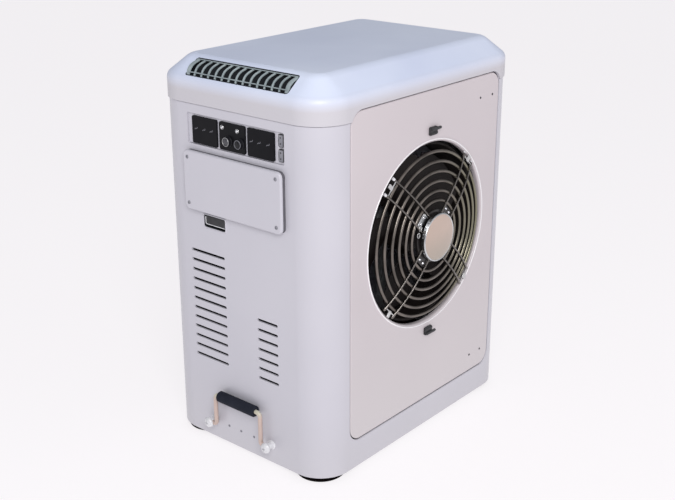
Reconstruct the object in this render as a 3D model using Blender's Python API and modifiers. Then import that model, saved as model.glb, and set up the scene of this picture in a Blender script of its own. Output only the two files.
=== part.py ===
"""Pool and spa heat pump unit: a rounded cabinet with a fan door, a control side and the heat pump inside.

The fan door faces -Y and the control side faces -X. Sizes are metres and +Z is up. Every piece is placed
in the cabinet's own coordinates, whose origin is under the cabinet's middle at floor level, and the parent
empty then centres the bounding box on the world origin.
"""

import math

import bmesh
import bpy
from mathutils import Matrix, Vector

# Cabinet
BODY_WIDTH = 0.684
BODY_DEPTH = 0.474
BODY_BOTTOM = 0.014
SEAM_HEIGHT = 0.787
TOTAL_HEIGHT = 0.880
CORNER_RADIUS = 0.076
CORNER_STEPS = 6
WALL = 0.004
GAP = 0.0003
SIDE_X = -BODY_WIDTH / 2
FRONT_Y = -BODY_DEPTH / 2
INNER_X = -SIDE_X - WALL
INNER_Y = -FRONT_Y - WALL

# Cap
CAP_GAP = 0.0015
CAP_OVERHANG = 0.003
CAP_SHOULDER = 0.838
CAP_INSET = 0.050
CAP_WALL = 0.004
BEVEL_RISE = TOTAL_HEIGHT - CAP_SHOULDER
BEVEL_RUN = CAP_INSET + CAP_OVERHANG
BEVEL_ANGLE = math.atan2(BEVEL_RISE, BEVEL_RUN)
BEVEL_LENGTH = math.hypot(BEVEL_RISE, BEVEL_RUN)

# Cap grille, measured along the bevel
GRILLE_LENGTH = 0.290
GRILLE_HEIGHT = 0.050
GRILLE_DEPTH = 0.007
GRILLE_SLOTS = 14
GRILLE_FOOT = (BEVEL_LENGTH - GRILLE_HEIGHT) / 2 + 0.001

# Fan door
DOOR_CENTRE_X = 0.0075
DOOR_WIDTH = 0.528
DOOR_BOTTOM = 0.080
DOOR_TOP = 0.8065
DOOR_RADIUS = 0.032
DOOR_GAP = 0.003
DOOR_SKIN = 0.003
DOOR_FLANGE = 0.013
DOOR_EDGE = 0.0025
DOOR_LEFT = DOOR_CENTRE_X - DOOR_WIDTH / 2
DOOR_RIGHT = DOOR_CENTRE_X + DOOR_WIDTH / 2

# Fan, guard and badge
FAN_X = 0.0085
FAN_Z = 0.4850
OPENING_RADIUS = 0.2095
LIP_OUTER = OPENING_RADIUS + 0.0055
LIP_INNER = OPENING_RADIUS - 0.003
LIP_DEPTH = 0.011
GUARD_RINGS = 6
GUARD_OUTER = 0.1855
GUARD_PITCH = 0.0212
GUARD_WIRE = 0.003
GUARD_RIM_PROUD = 0.002
GUARD_CROWN_PROUD = 0.0145
GUARD_CROWN_POWER = 2.3
SPOKE_WIRE = 0.0022
SPOKE_HALF_SPACING = 0.0195
SPOKE_START = 0.048
SPOKE_STEP = 0.0047
SPOKE_ENDS = ((0.198, 0.0062), (0.2085, 0.0040))
HUB_PLATE_FACE = GUARD_CROWN_PROUD + SPOKE_STEP - SPOKE_WIRE - GAP
HUB_PLATE_THICKNESS = 0.006
HUB_PLATE_RADIUS = 0.060
HUB_BOSS_RADIUS = 0.042
HUB_ARM_END = 0.0725
BADGE_RADIUS = 0.0545
BADGE_FOOT_PROUD = GUARD_CROWN_PROUD + SPOKE_STEP + SPOKE_WIRE + GAP
BADGE_FACE_PROUD = 0.0340
ROTOR_RADIUS = 0.182
ROTOR_HUB_RADIUS = 0.052
ROTOR_BACK = FRONT_Y + 0.080
BLADES = 5
MOTOR_FRONT = ROTOR_BACK + GAP
MOTOR_LENGTH = 0.088
SHROUD_RADIUS = 0.196

# Guard latches: a block beside the guard and a lever that turns a quarter turn away from the fan.
LATCH_REACH = 0.2327
LATCH_X = 0.0150
LATCH_BLOCK_WIDTH = 0.026
LATCH_BLOCK_HEIGHT = 0.018
LATCH_BLOCK_THICKNESS = 0.0055
LEVER_LENGTH = 0.031
LEVER_WIDTH = 0.0062
LEVER_THICKNESS = 0.004

# Door hinges
HINGE_X = DOOR_RIGHT - 0.027
HINGE_Y = FRONT_Y + 0.007
HINGE_HEIGHTS = {"bottom": 0.122, "top": 0.756}
PIN_RADIUS = 0.0018
KNUCKLE_RADIUS = 0.0034
KNUCKLE_REACH = 0.014
HINGE_ARM = 0.004

# Control side
PANEL_BOTTOM = 0.7015
PANEL_TOP = 0.7675
PANEL_HALF_WIDTH = 0.138
PANEL_SINK = 0.0035
MODULE_WIDTH = 0.0735
MODULE_BOTTOM = 0.7045
MODULE_TOP = 0.763
MODULE_CENTRES = {"display_left": 0.0857, "knob_panel": 0.0051, "display_right": -0.0750}
MODULE_PROUD = 0.001
KNOB_RADIUS = 0.0115
KNOB_PROUD = 0.009
KNOB_PLACES = {"knob_left": (0.0155, 0.7250), "knob_right": (-0.0185, 0.7250)}
BUTTON_RADIUS = 0.0036
BUTTON_PROUD = 0.0035
BUTTON_PLACES = {"button_left": (0.0325, 0.7515), "button_right": (-0.0105, 0.7500)}
ROCKER_Y = -0.1302
ROCKER_HEIGHTS = {"rocker_upper": 0.7510, "rocker_lower": 0.7205}
ROCKER_WIDTH = 0.0105
ROCKER_HEIGHT = 0.0230

# Service cover and its catch
COVER_Y = 0.001
COVER_Z = 0.6245
COVER_WIDTH = 0.282
COVER_HEIGHT = 0.131
COVER_PROUD = 0.014
COVER_SCREW = (0.127, 0.0505)
CATCH_Y = 0.067
CATCH_Z = 0.5365
CATCH_WIDTH = 0.066
CATCH_HEIGHT = 0.029
CATCH_DEPTH = 0.016

# Side louvres
SLOT_TOP = 0.461
SLOT_PITCH = 0.0227
SLOT_HEIGHT = 0.0064
SLOT_COLUMNS = (((0.0411, 0.1432), 0, 12), ((-0.1098, -0.0508), 5, 12))

# Fold-out handle
HANDLE_Y = 0.004
HANDLE_PIVOT_Z = 0.058
HANDLE_GRIP_Z = 0.133
HANDLE_PROUD = 0.0145
HANDLE_ROD = 0.005
LEG_OFFSET = 0.069
BOSS_OFFSET = 0.0886
BOSS_RADIUS = 0.011
GRIP_RADIUS = 0.0125
GRIP_HALF_LENGTH = 0.056

# Feet, water unions and rear grille
FOOT_RADIUS = 0.055
FOOT_X = 0.278
FOOT_Y = 0.170
UNION_Y = 0.050
UNION_HEIGHTS = {"water_inlet": 0.100, "water_outlet": 0.190}
UNION_REACH = 0.048
REAR_PROUD = 0.006
REAR_LEFT, REAR_RIGHT = -0.245, 0.285
REAR_BOTTOM, REAR_TOP = 0.090, 0.740
REAR_RADIUS = 0.020
REAR_SLOTS = 18
GLAND_Y, GLAND_Z = 0.050, 0.250

# Inside: the fan stands on a deck, and the refrigerant and water circuits stand under it.
DECK_Z = 0.270
BULKHEAD_Y = FRONT_Y + 0.092
SHROUD_FRONT = FRONT_Y + 0.019
COMPRESSOR = (-0.165, -0.040)
COMPRESSOR_RADIUS = 0.058
COMPRESSOR_TOP = 0.236
ACCUMULATOR_Y = COMPRESSOR[1] + 0.115
ACCUMULATOR_TOP = 0.215
EXCHANGER = (0.150, 0.050)
EXCHANGER_RADIUS = 0.085
VALVE = (-0.020, -0.085, 0.175)
VALVE_RADIUS = 0.014
COIL_FRONT, COIL_BACK = 0.170, 0.205
PAN_BOTTOM = BODY_BOTTOM + 0.001
PAN_SHEET = 0.003
PAN_RIM = 0.045
PAN_FLOOR = PAN_BOTTOM + PAN_SHEET + GAP
SHEET = 0.002

# The bounding box runs from the handle's bosses to the unions and from the badge to the rear grille.
BOSS_PROUD = 0.028
SHIFT_X = (BOSS_PROUD - UNION_REACH) / 2
SHIFT_Y = (BADGE_FACE_PROUD - REAR_PROUD) / 2

MATERIALS = {
    "cabinet_white": ((0.78, 0.77, 0.80), 0.35, 0.0),
    "control_black": ((0.02, 0.02, 0.025), 0.30, 0.0),
    "black_plastic": ((0.03, 0.03, 0.035), 0.50, 0.0),
    "fan_black": ((0.02, 0.02, 0.02), 0.40, 0.0),
    "bright_wire": ((0.55, 0.53, 0.50), 0.25, 1.0),
    "badge_beige": ((0.72, 0.62, 0.54), 0.20, 0.0),
    "zinc_steel": ((0.60, 0.60, 0.60), 0.45, 1.0),
    "cream_rod": ((0.72, 0.62, 0.52), 0.35, 0.0),
    "grip_foam": ((0.03, 0.03, 0.05), 0.85, 0.0),
    "rubber": ((0.02, 0.02, 0.02), 0.85, 0.0),
    "copper": ((0.75, 0.40, 0.28), 0.30, 1.0),
    "coil_aluminium": ((0.60, 0.63, 0.66), 0.40, 1.0),
    "circuit_green": ((0.03, 0.20, 0.10), 0.50, 0.0),
}


def clear_scene():
    for item in list(bpy.data.objects):
        bpy.data.objects.remove(item)


def new_collection(name):
    collection = bpy.data.collections.new(name)
    bpy.context.scene.collection.children.link(collection)
    return collection


clear_scene()
PARTS = new_collection("heat_pump_unit")
CUTTERS = new_collection("cutters")
UNIT = bpy.data.objects.new("unit", None)
UNIT.location = (SHIFT_X, SHIFT_Y, 0)
PARTS.objects.link(UNIT)


def material(name):
    made = bpy.data.materials.get(name)
    if made:
        return made
    colour, roughness, metallic = MATERIALS[name]
    made = bpy.data.materials.new(name)
    made.use_nodes = True
    shader = made.node_tree.nodes["Principled BSDF"]
    shader.inputs["Base Color"].default_value = (*colour, 1)
    shader.inputs["Roughness"].default_value = roughness
    shader.inputs["Metallic"].default_value = metallic
    return made


def place(name, mesh, finish, origin=(0, 0, 0)):
    """Adds a mesh given in cabinet coordinates as an object whose own origin is at the given point."""
    mesh.transform(Matrix.Translation(-Vector(origin)))
    item = bpy.data.objects.new(name, mesh)
    item.location = origin
    item.parent = UNIT
    if finish is None:
        item.hide_render = True
        item.display_type = "WIRE"
        CUTTERS.objects.link(item)
    else:
        mesh.materials.append(material(finish))
        PARTS.objects.link(item)
    return item


def to_mesh(shape, name, smooth_angle=math.radians(35)):
    mesh = bpy.data.meshes.new(name)
    shape.normal_update()
    shape.to_mesh(mesh)
    shape.free()
    mesh.shade_smooth()
    mesh.set_sharp_from_angle(angle=smooth_angle)
    return mesh


def add_block(shape, low, high, radius=0.0, along="Z", segments=4):
    """Adds a box between two corners, its edges along one axis rounded."""
    low, high = Vector(low), Vector(high)
    size = high - low
    new = bmesh.ops.create_cube(shape, size=1, matrix=Matrix.Translation((low + high) / 2) @
                                Matrix.Diagonal((*size, 1)))["verts"]
    if radius > 0:
        axis = "XYZ".index(along)
        edges = {edge for vert in new for edge in vert.link_edges
                 if abs((edge.verts[0].co - edge.verts[1].co)[axis]) > size[axis] / 2}
        bmesh.ops.bevel(shape, geom=list(edges), offset=radius, segments=segments, affect="EDGES",
                        profile=0.5)


def block(name, low, high, finish, radius=0.0, along="Z", segments=4, origin=(0, 0, 0)):
    shape = bmesh.new()
    add_block(shape, low, high, radius, along, segments)
    return place(name, to_mesh(shape, name), finish, origin)


def add_cylinder(shape, start, end, radius, segments=20, end_radius=None):
    start, end = Vector(start), Vector(end)
    direction = end - start
    turn = Vector((0, 0, 1)).rotation_difference(direction).to_matrix().to_4x4()
    bmesh.ops.create_cone(shape, cap_ends=True, segments=segments, radius1=radius,
                          radius2=radius if end_radius is None else end_radius, depth=direction.length,
                          matrix=Matrix.Translation((start + end) / 2) @ turn)


def cylinder(name, start, end, radius, finish, segments=20, end_radius=None, origin=(0, 0, 0)):
    shape = bmesh.new()
    add_cylinder(shape, start, end, radius, segments, end_radius)
    return place(name, to_mesh(shape, name), finish, origin)


def turned(name, profile, finish, base, axis=(0, 0, 1), segments=16):
    """Turns (radius, height) points, listed from the top down the outer side, about an axis through base."""
    mesh = bpy.data.meshes.new(name)
    turn = Vector((0, 0, 1)).rotation_difference(Vector(axis)).to_matrix().to_4x4()
    points = [(radius, 0, height) for radius, height in profile]
    mesh.from_pydata(points, [(i, i + 1) for i in range(len(points) - 1)], [])
    item = bpy.data.objects.new(name, mesh)
    item.parent = UNIT
    item.location = base
    item.rotation_euler = turn.to_euler()
    screw = item.modifiers.new("turn", "SCREW")
    screw.steps = segments
    screw.render_steps = segments
    screw.use_merge_vertices = True
    screw.merge_threshold = 0.00002
    if finish is None:
        item.hide_render = True
        item.display_type = "WIRE"
        CUTTERS.objects.link(item)
    else:
        mesh.materials.append(material(finish))
        PARTS.objects.link(item)
    return item


def tube(name, points, radius, finish, origin=(0, 0, 0), resolution=1, cyclic=False):
    """Sweeps a round wire along points and returns it as a closed mesh object."""
    curve = bpy.data.curves.new(name, "CURVE")
    curve.dimensions = "3D"
    curve.bevel_depth = radius
    curve.bevel_resolution = resolution
    curve.use_fill_caps = True
    line = curve.splines.new("POLY")
    line.points.add(len(points) - 1)
    for point, where in zip(line.points, points):
        point.co = (*where, 1)
    line.use_cyclic_u = cyclic
    guide = bpy.data.objects.new(name + "_guide", curve)
    PARTS.objects.link(guide)
    mesh = bpy.data.meshes.new_from_object(guide.evaluated_get(bpy.context.evaluated_depsgraph_get()))
    bpy.data.objects.remove(guide)
    shape = bmesh.new()
    shape.from_mesh(mesh)
    bmesh.ops.remove_doubles(shape, verts=shape.verts, dist=0.00001)
    return place(name, to_mesh(shape, name), finish, origin)


def rounded_path(corners, radius, steps=4):
    """Replaces each inner corner of a path by an arc-like run of points."""
    corners = [Vector(corner) for corner in corners]
    path = [corners[0]]
    for before, corner, after in zip(corners, corners[1:], corners[2:]):
        start = corner + (before - corner).normalized() * radius
        end = corner + (after - corner).normalized() * radius
        for step in range(steps + 1):
            t = step / steps
            path.append(start.lerp(corner, t).lerp(corner.lerp(end, t), t))
    path.append(corners[-1])
    return path


def boolean(item, tool, operation):
    step = item.modifiers.new(operation.lower(), "BOOLEAN")
    step.operation = operation
    step.solver = "EXACT"
    step.object = tool
    return item


def cut(item, tool):
    return boolean(item, tool, "DIFFERENCE")


def join(item, tool):
    return boolean(item, tool, "UNION")


def solidify(item, thickness):
    shell = item.modifiers.new("wall", "SOLIDIFY")
    shell.thickness = thickness
    shell.offset = -1
    shell.use_even_offset = True
    return item


def guard_proud(radius):
    """How far the domed guard stands off the door at a radius from the fan's axis."""
    inner = GUARD_OUTER - (GUARD_RINGS - 1) * GUARD_PITCH
    share = max(0.0, (radius - inner) / (GUARD_OUTER - inner))
    return GUARD_CROWN_PROUD - (GUARD_CROWN_PROUD - GUARD_RIM_PROUD) * share ** GUARD_CROWN_POWER


def fan_point(radius, angle, proud, sideways=0.0):
    """A point in polar coordinates about the fan's axis, proud of the door's face."""
    out = Vector((math.cos(angle), 0, math.sin(angle)))
    across = Vector((-math.sin(angle), 0, math.cos(angle)))
    return Vector((FAN_X, FRONT_Y - proud, FAN_Z)) + out * radius + across * sideways


# Cabinet: one wrap-around shell, cut for the door, controls, louvres, unions and rear grille.

def cabinet_shell():
    shape = bmesh.new()
    add_block(shape, (SIDE_X, FRONT_Y, BODY_BOTTOM), (-SIDE_X, -FRONT_Y, SEAM_HEIGHT), CORNER_RADIUS, "Z",
              CORNER_STEPS)
    ends = [face for face in shape.faces if abs(face.normal.z) > 0.5]
    bmesh.ops.delete(shape, geom=ends, context="FACES_ONLY")
    shell = solidify(place("cabinet_shell", to_mesh(shape, "cabinet_shell"), "cabinet_white"), WALL)
    cut(shell, door_cutter())
    cut(shell, side_cutter())
    cut(shell, far_side_cutter())
    return shell


def door_cutter():
    return block("door_cutter", (DOOR_LEFT - DOOR_GAP, FRONT_Y - 0.02, DOOR_BOTTOM - DOOR_GAP),
                 (DOOR_RIGHT + DOOR_GAP, FRONT_Y + 0.03, DOOR_TOP + DOOR_GAP), None,
                 DOOR_RADIUS + DOOR_GAP, "Y", 5)


def side_cutter():
    """The control window, the wiring window, the catch pocket and the louvre slots on the control side."""
    shape = bmesh.new()
    outside, inside = SIDE_X - 0.01, SIDE_X + 0.01
    add_block(shape, (outside, -PANEL_HALF_WIDTH, PANEL_BOTTOM), (inside, PANEL_HALF_WIDTH, PANEL_TOP),
              0.004, "X", 2)
    margin_y, margin_z = 0.030, 0.026
    half_y, half_z = COVER_WIDTH / 2 - margin_y, COVER_HEIGHT / 2 - margin_z
    add_block(shape, (outside, COVER_Y - half_y, COVER_Z - half_z),
              (inside, COVER_Y + half_y, COVER_Z + half_z), 0.006, "X", 2)
    add_block(shape, (outside, CATCH_Y - CATCH_WIDTH / 2, CATCH_Z - CATCH_HEIGHT / 2),
              (inside, CATCH_Y + CATCH_WIDTH / 2, CATCH_Z + CATCH_HEIGHT / 2), 0.005, "X", 2)
    for (low_y, high_y), first, last in SLOT_COLUMNS:
        for row in range(first, last):
            low_z = SLOT_TOP - row * SLOT_PITCH - SLOT_HEIGHT / 2
            high_z = low_z + SLOT_HEIGHT
            add_block(shape, (outside, low_y, low_z), (inside, high_y, high_z), SLOT_HEIGHT * 0.45, "X", 1)
    return place("side_cutter", to_mesh(shape, "side_cutter"), None)


def far_side_cutter():
    """The holes for the unions, the cable gland and the rear grille."""
    shape = bmesh.new()
    for height in UNION_HEIGHTS.values():
        add_cylinder(shape, (-SIDE_X - 0.02, UNION_Y, height), (-SIDE_X + 0.02, UNION_Y, height), 0.0215, 20)
    add_cylinder(shape, (-SIDE_X - 0.02, GLAND_Y, GLAND_Z), (-SIDE_X + 0.02, GLAND_Y, GLAND_Z), 0.0086, 16)
    add_block(shape, (REAR_LEFT, -FRONT_Y - 0.02, REAR_BOTTOM), (REAR_RIGHT, -FRONT_Y + 0.02, REAR_TOP),
              REAR_RADIUS, "Y", 3)
    return place("far_side_cutter", to_mesh(shape, "far_side_cutter"), None)


# Cap: a moulded lid with a vertical skirt, a sloping band and a flat top.

def rounded_outline(half_x, half_y, radius, steps=CORNER_STEPS):
    """Points round a rectangle with arc corners, starting at +X and running anticlockwise."""
    points = []
    corners = ((1, 1, 0), (-1, 1, 90), (-1, -1, 180), (1, -1, 270))
    for sign_x, sign_y, first in corners:
        centre = Vector((sign_x * (half_x - radius), sign_y * (half_y - radius)))
        for step in range(steps + 1):
            angle = math.radians(first + 90 * step / steps)
            points.append(centre + Vector((math.cos(angle), math.sin(angle))) * radius)
    return points


def cap_sections():
    """Inset and height of each section of the cap, from the skirt's lower edge up."""
    sections = [(-CAP_OVERHANG, SEAM_HEIGHT + CAP_GAP)]
    for blend in (0.0, 0.35, 1.0):
        sections.append((-CAP_OVERHANG + 0.006 * blend ** 2, CAP_SHOULDER - 0.008 + 0.0125 * blend))
    sections.append((CAP_INSET - 0.008, TOTAL_HEIGHT - 0.0045))
    sections.append((CAP_INSET - 0.001, TOTAL_HEIGHT - 0.0010))
    sections.append((CAP_INSET + 0.008, TOTAL_HEIGHT))
    return sections


def cap():
    shape = bmesh.new()
    loops = []
    for inset, height in cap_sections():
        outline = rounded_outline(BODY_WIDTH / 2 - inset, BODY_DEPTH / 2 - inset, CORNER_RADIUS - inset)
        verts = [shape.verts.new((point.x, point.y, height)) for point in outline]
        loops.append([shape.edges.new(pair) for pair in zip(verts, verts[1:] + verts[:1])])
    for lower, upper in zip(loops, loops[1:]):
        bmesh.ops.bridge_loops(shape, edges=lower + upper)
    bmesh.ops.edgeloop_fill(shape, edges=loops[-1])
    bmesh.ops.recalc_face_normals(shape, faces=shape.faces)
    lid = solidify(place("cap", to_mesh(shape, "cap"), "cabinet_white"), CAP_WALL)
    cut(lid, door_notch_cutter())
    cut(lid, grille_pocket_cutter())
    return lid


def door_notch_cutter():
    return block("door_notch_cutter", (DOOR_LEFT - DOOR_GAP, FRONT_Y - 0.02, SEAM_HEIGHT - 0.08),
                 (DOOR_RIGHT + DOOR_GAP, FRONT_Y + 0.012, DOOR_TOP + DOOR_GAP), None,
                 DOOR_RADIUS + DOOR_GAP, "Y", 5)


def on_bevel(shape):
    """Turns a shape drawn along the slope (X up the slope, Y along it, Z outwards) onto the side bevel."""
    slope = Matrix.Rotation(-BEVEL_ANGLE, 4, "Y")
    foot = Matrix.Translation((SIDE_X - CAP_OVERHANG, 0, CAP_SHOULDER))
    shape.transform(foot @ slope)
    return shape


def grille_block(shape, low_slope, high_slope, half_length, low, high, radius=0.0):
    add_block(shape, (low_slope, -half_length, low), (high_slope, half_length, high), radius, "Z", 2)


def grille_pocket_cutter():
    shape = bmesh.new()
    grille_block(shape, GRILLE_FOOT, GRILLE_FOOT + GRILLE_HEIGHT, GRILLE_LENGTH / 2, -0.03, 0.03, 0.006)
    return place("grille_pocket_cutter", to_mesh(on_bevel(shape), "grille_pocket_cutter"), None)


def cap_grille():
    """A framed vent with upright ribs, set in the cap's slope over the controls."""
    shape = bmesh.new()
    grille_block(shape, GRILLE_FOOT + GAP, GRILLE_FOOT + GRILLE_HEIGHT - GAP, GRILLE_LENGTH / 2 - GAP,
                 -GRILLE_DEPTH - 0.001, -0.001, 0.006)
    grille = place("cap_grille", to_mesh(on_bevel(shape), "cap_grille"), "zinc_steel")
    slots = bmesh.new()
    pitch = (GRILLE_LENGTH - 0.012) / GRILLE_SLOTS
    for slot in range(GRILLE_SLOTS):
        middle = (slot + 0.5) * pitch - GRILLE_SLOTS * pitch / 2
        add_block(slots, (GRILLE_FOOT + 0.005, middle - pitch * 0.32, -0.03),
                  (GRILLE_FOOT + GRILLE_HEIGHT - 0.005, middle + pitch * 0.32, 0.03))
    cutter = place("grille_slot_cutter", to_mesh(on_bevel(slots), "grille_slot_cutter"), None)
    return cut(grille, cutter)


# Base pan, feet and the structure inside.

def base_pan():
    """A tray with an upturned rim that carries the machine."""
    shape = bmesh.new()
    add_block(shape, (-INNER_X + GAP, -INNER_Y + GAP, PAN_BOTTOM), (INNER_X - GAP, INNER_Y - GAP, PAN_RIM),
              CORNER_RADIUS - WALL, "Z", CORNER_STEPS)
    open_side = [face for face in shape.faces if face.normal.z > 0.5]
    bmesh.ops.delete(shape, geom=open_side, context="FACES_ONLY")
    return solidify(place("base_pan", to_mesh(shape, "base_pan"), "zinc_steel"), PAN_SHEET)


def feet():
    for name, sign_x, sign_y in (("foot_front_left", -1, -1), ("foot_front_right", 1, -1),
                                 ("foot_rear_left", -1, 1), ("foot_rear_right", 1, 1)):
        top = PAN_BOTTOM - GAP
        profile = ((0, top), (FOOT_RADIUS, top), (FOOT_RADIUS, 0.003), (FOOT_RADIUS - 0.003, 0), (0, 0))
        turned(name, profile, "rubber", (sign_x * FOOT_X, sign_y * FOOT_Y, 0))


def deck():
    """The shelf between the fan space above and the compressor space below."""
    return block("fan_deck", (-0.318, BULKHEAD_Y + SHEET + GAP, DECK_Z), (0.318, 0.160, DECK_Z + SHEET),
                 "zinc_steel", 0.03, "Z", 3)


def fan_bulkhead():
    """The upright panel behind the door that holds the fan's air ring."""
    panel = block("fan_bulkhead", (-0.328, BULKHEAD_Y, PAN_FLOOR), (0.328, BULKHEAD_Y + SHEET, 0.780),
                  "zinc_steel", 0.012, "Y", 2)
    cut(panel, block("service_hole", (-0.250, BULKHEAD_Y - 0.02, 0.070), (0.250, BULKHEAD_Y + 0.02, 0.250),
                     None, 0.012, "Y", 2))
    hole = cylinder("bulkhead_hole", (FAN_X, BULKHEAD_Y - 0.05, FAN_Z), (FAN_X, BULKHEAD_Y + 0.05, FAN_Z),
                    SHROUD_RADIUS + 0.004, None, 32)
    return cut(panel, hole)


def fan_shroud():
    """The air ring round the blades, with a flange against the bulkhead."""
    depth = BULKHEAD_Y - GAP - SHROUD_FRONT
    inner, outer = SHROUD_RADIUS, SHROUD_RADIUS + 0.0025
    profile = ((inner, depth), (inner + 0.004, depth + 0.002), (outer + 0.005, depth), (outer, depth - 0.003),
               (outer, 0.003), (outer + 0.016, 0.0025), (outer + 0.016, 0), (inner, 0), (inner, depth))
    return turned("fan_shroud", profile, "fan_black", (FAN_X, BULKHEAD_Y - GAP, FAN_Z), (0, -1, 0), 32)


def blade_mesh(angle):
    """One broad twisted blade as a thin closed shell between its front and back sheets."""
    shape = bmesh.new()
    spans, chords = 5, 4
    inner, outer = ROTOR_HUB_RADIUS - 0.006, ROTOR_RADIUS
    middle_y = FRONT_Y + 0.056
    sheets = []
    for side in (-0.0012, 0.0012):
        sheet = []
        for i in range(spans):
            span = i / (spans - 1)
            radius = inner + (outer - inner) * span
            half = 0.36 + 0.16 * math.sin(math.pi * (0.15 + 0.7 * span))
            row = []
            for j in range(chords):
                chord = 2 * j / (chords - 1) - 1
                turn = angle + half * chord + 0.22 * span
                lift = (0.026 - 0.010 * span) * chord + 0.004 * (1 - chord * chord) + side
                row.append(shape.verts.new((FAN_X + radius * math.cos(turn), middle_y + lift,
                                            FAN_Z + radius * math.sin(turn))))
            sheet.append(row)
        sheets.append(sheet)
    for sheet in sheets:
        for i in range(spans - 1):
            for j in range(chords - 1):
                shape.faces.new((sheet[i][j], sheet[i][j + 1], sheet[i + 1][j + 1], sheet[i + 1][j]))
    edges = [edge for edge in shape.edges if edge.is_boundary]
    bmesh.ops.bridge_loops(shape, edges=edges)
    bmesh.ops.recalc_face_normals(shape, faces=shape.faces)
    return shape


def fan_rotor():
    """Hub and blades in one piece, turning about the fan's axis."""
    axis = (FAN_X, ROTOR_BACK, FAN_Z)
    hub = ROTOR_HUB_RADIUS
    profile = ((0, 0.050), (hub - 0.012, 0.048), (hub, 0.036), (hub, 0), (0, 0))
    rotor = turned("fan_rotor", profile, "fan_black", axis, (0, -1, 0))
    for number in range(BLADES):
        name = "blade_%d" % (number + 1)
        shape = blade_mesh(2 * math.pi * number / BLADES + 0.5)
        join(rotor, place(name, to_mesh(shape, name), None))
    return rotor


def fan_motor():
    """The motor's can behind the rotor, with its shaft stub."""
    shaft, can, end = 0.012, 0.054, -MOTOR_LENGTH
    profile = ((0, 0), (shaft, 0), (shaft, -0.010), (can - 0.006, -0.014), (can, -0.022), (can, end + 0.008),
               (can - 0.008, end), (0, end))
    return turned("fan_motor", profile, "zinc_steel", (FAN_X, MOTOR_FRONT, FAN_Z), (0, -1, 0))


def motor_bracket():
    """Two uprights from the deck to the cap with a cross plate behind the motor."""
    plate_front = MOTOR_FRONT + MOTOR_LENGTH + GAP
    shape = bmesh.new()
    half_x, half_z = 0.075, 0.055
    add_block(shape, (FAN_X - half_x, plate_front, FAN_Z - half_z),
              (FAN_X + half_x, plate_front + 0.004, FAN_Z + half_z))
    bracket = place("motor_bracket", to_mesh(shape, "motor_bracket"), "zinc_steel")
    uprights = bmesh.new()
    for side in (-1, 1):
        middle = FAN_X + side * 0.066
        add_block(uprights, (middle - 0.011, plate_front + 0.002, DECK_Z + SHEET + GAP),
                  (middle + 0.011, plate_front + 0.016, 0.775))
    return join(bracket, place("motor_uprights", to_mesh(uprights, "motor_uprights"), None))


# Fan door with its rolled lip, guard, badge, latches and hinges.

def fan_door():
    shape = bmesh.new()
    add_block(shape, (DOOR_LEFT, FRONT_Y, DOOR_BOTTOM), (DOOR_RIGHT, FRONT_Y + DOOR_FLANGE, DOOR_TOP),
              DOOR_RADIUS, "Y", 6)
    front = [face for face in shape.faces if face.normal.y < -0.5]
    back = [face for face in shape.faces if face.normal.y > 0.5]
    rim = list({edge for face in front for edge in face.edges})
    bmesh.ops.delete(shape, geom=back, context="FACES_ONLY")
    bmesh.ops.bevel(shape, geom=rim, offset=DOOR_EDGE, segments=2, affect="EDGES", profile=0.5)
    door = solidify(place("fan_door", to_mesh(shape, "fan_door"), "cabinet_white",
                          (HINGE_X, HINGE_Y, HINGE_HEIGHTS["bottom"])), DOOR_SKIN)
    cut(door, cylinder("opening_cutter", (FAN_X, FRONT_Y - 0.02, FAN_Z), (FAN_X, FRONT_Y + 0.02, FAN_Z),
                       OPENING_RADIUS, None, 40))
    notches = bmesh.new()
    for height in HINGE_HEIGHTS.values():
        add_block(notches, (DOOR_RIGHT - 0.012, FRONT_Y + DOOR_SKIN - 0.0002, height - 0.019),
                  (DOOR_RIGHT + 0.010, FRONT_Y + 0.03, height + 0.019))
    cut(door, place("hinge_notch_cutter", to_mesh(notches, "hinge_notch_cutter"), None))
    return join(door, lip_ring())


def lip_ring():
    """The opening's edge, which swells a little and then turns in towards the fan."""
    wall = 0.003
    profile = ((LIP_INNER, -0.004), (LIP_INNER + 0.002, -0.0006), (LIP_INNER + 0.0045, 0.0010),
               (LIP_OUTER - 0.0015, 0.0008), (LIP_OUTER, -0.0008), (LIP_INNER + wall, -0.0035),
               (LIP_INNER + wall, -LIP_DEPTH), (LIP_INNER, -LIP_DEPTH), (LIP_INNER, -0.004))
    return turned("lip_ring", profile, None, (FAN_X, FRONT_Y, FAN_Z), (0, -1, 0), 40)


def ring_points(number, steps=32):
    radius = GUARD_OUTER - number * GUARD_PITCH
    return [fan_point(radius, 2 * math.pi * step / steps, guard_proud(radius)) for step in range(steps)]


def spoke(name, angle, sideways):
    """A radial guard wire that lies on the rings and runs out over the opening's edge."""
    points = []
    steps = 6
    for step in range(steps + 1):
        radius = SPOKE_START + (GUARD_OUTER - SPOKE_START) * step / steps
        points.append(fan_point(radius, angle, guard_proud(radius) + SPOKE_STEP, sideways))
    for radius, proud in SPOKE_ENDS:
        points.append(fan_point(radius, angle, proud, sideways))
    return tube(name, points, SPOKE_WIRE, None, resolution=0)


def fan_guard():
    """Concentric wires welded to four pairs of spokes."""
    guard = tube("fan_guard", ring_points(0), GUARD_WIRE, "bright_wire", resolution=0, cyclic=True)
    for corner in range(4):
        angle = math.radians(45 + 90 * corner)
        for side in (-1, 1):
            name = "spoke_%d_%s" % (corner + 1, "left" if side < 0 else "right")
            join(guard, spoke(name, angle, side * SPOKE_HALF_SPACING))
    for number in range(1, GUARD_RINGS):
        name = "guard_ring_%d" % (number + 1)
        join(guard, tube(name, ring_points(number), GUARD_WIRE, None, resolution=0, cyclic=True))
    return guard


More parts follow.
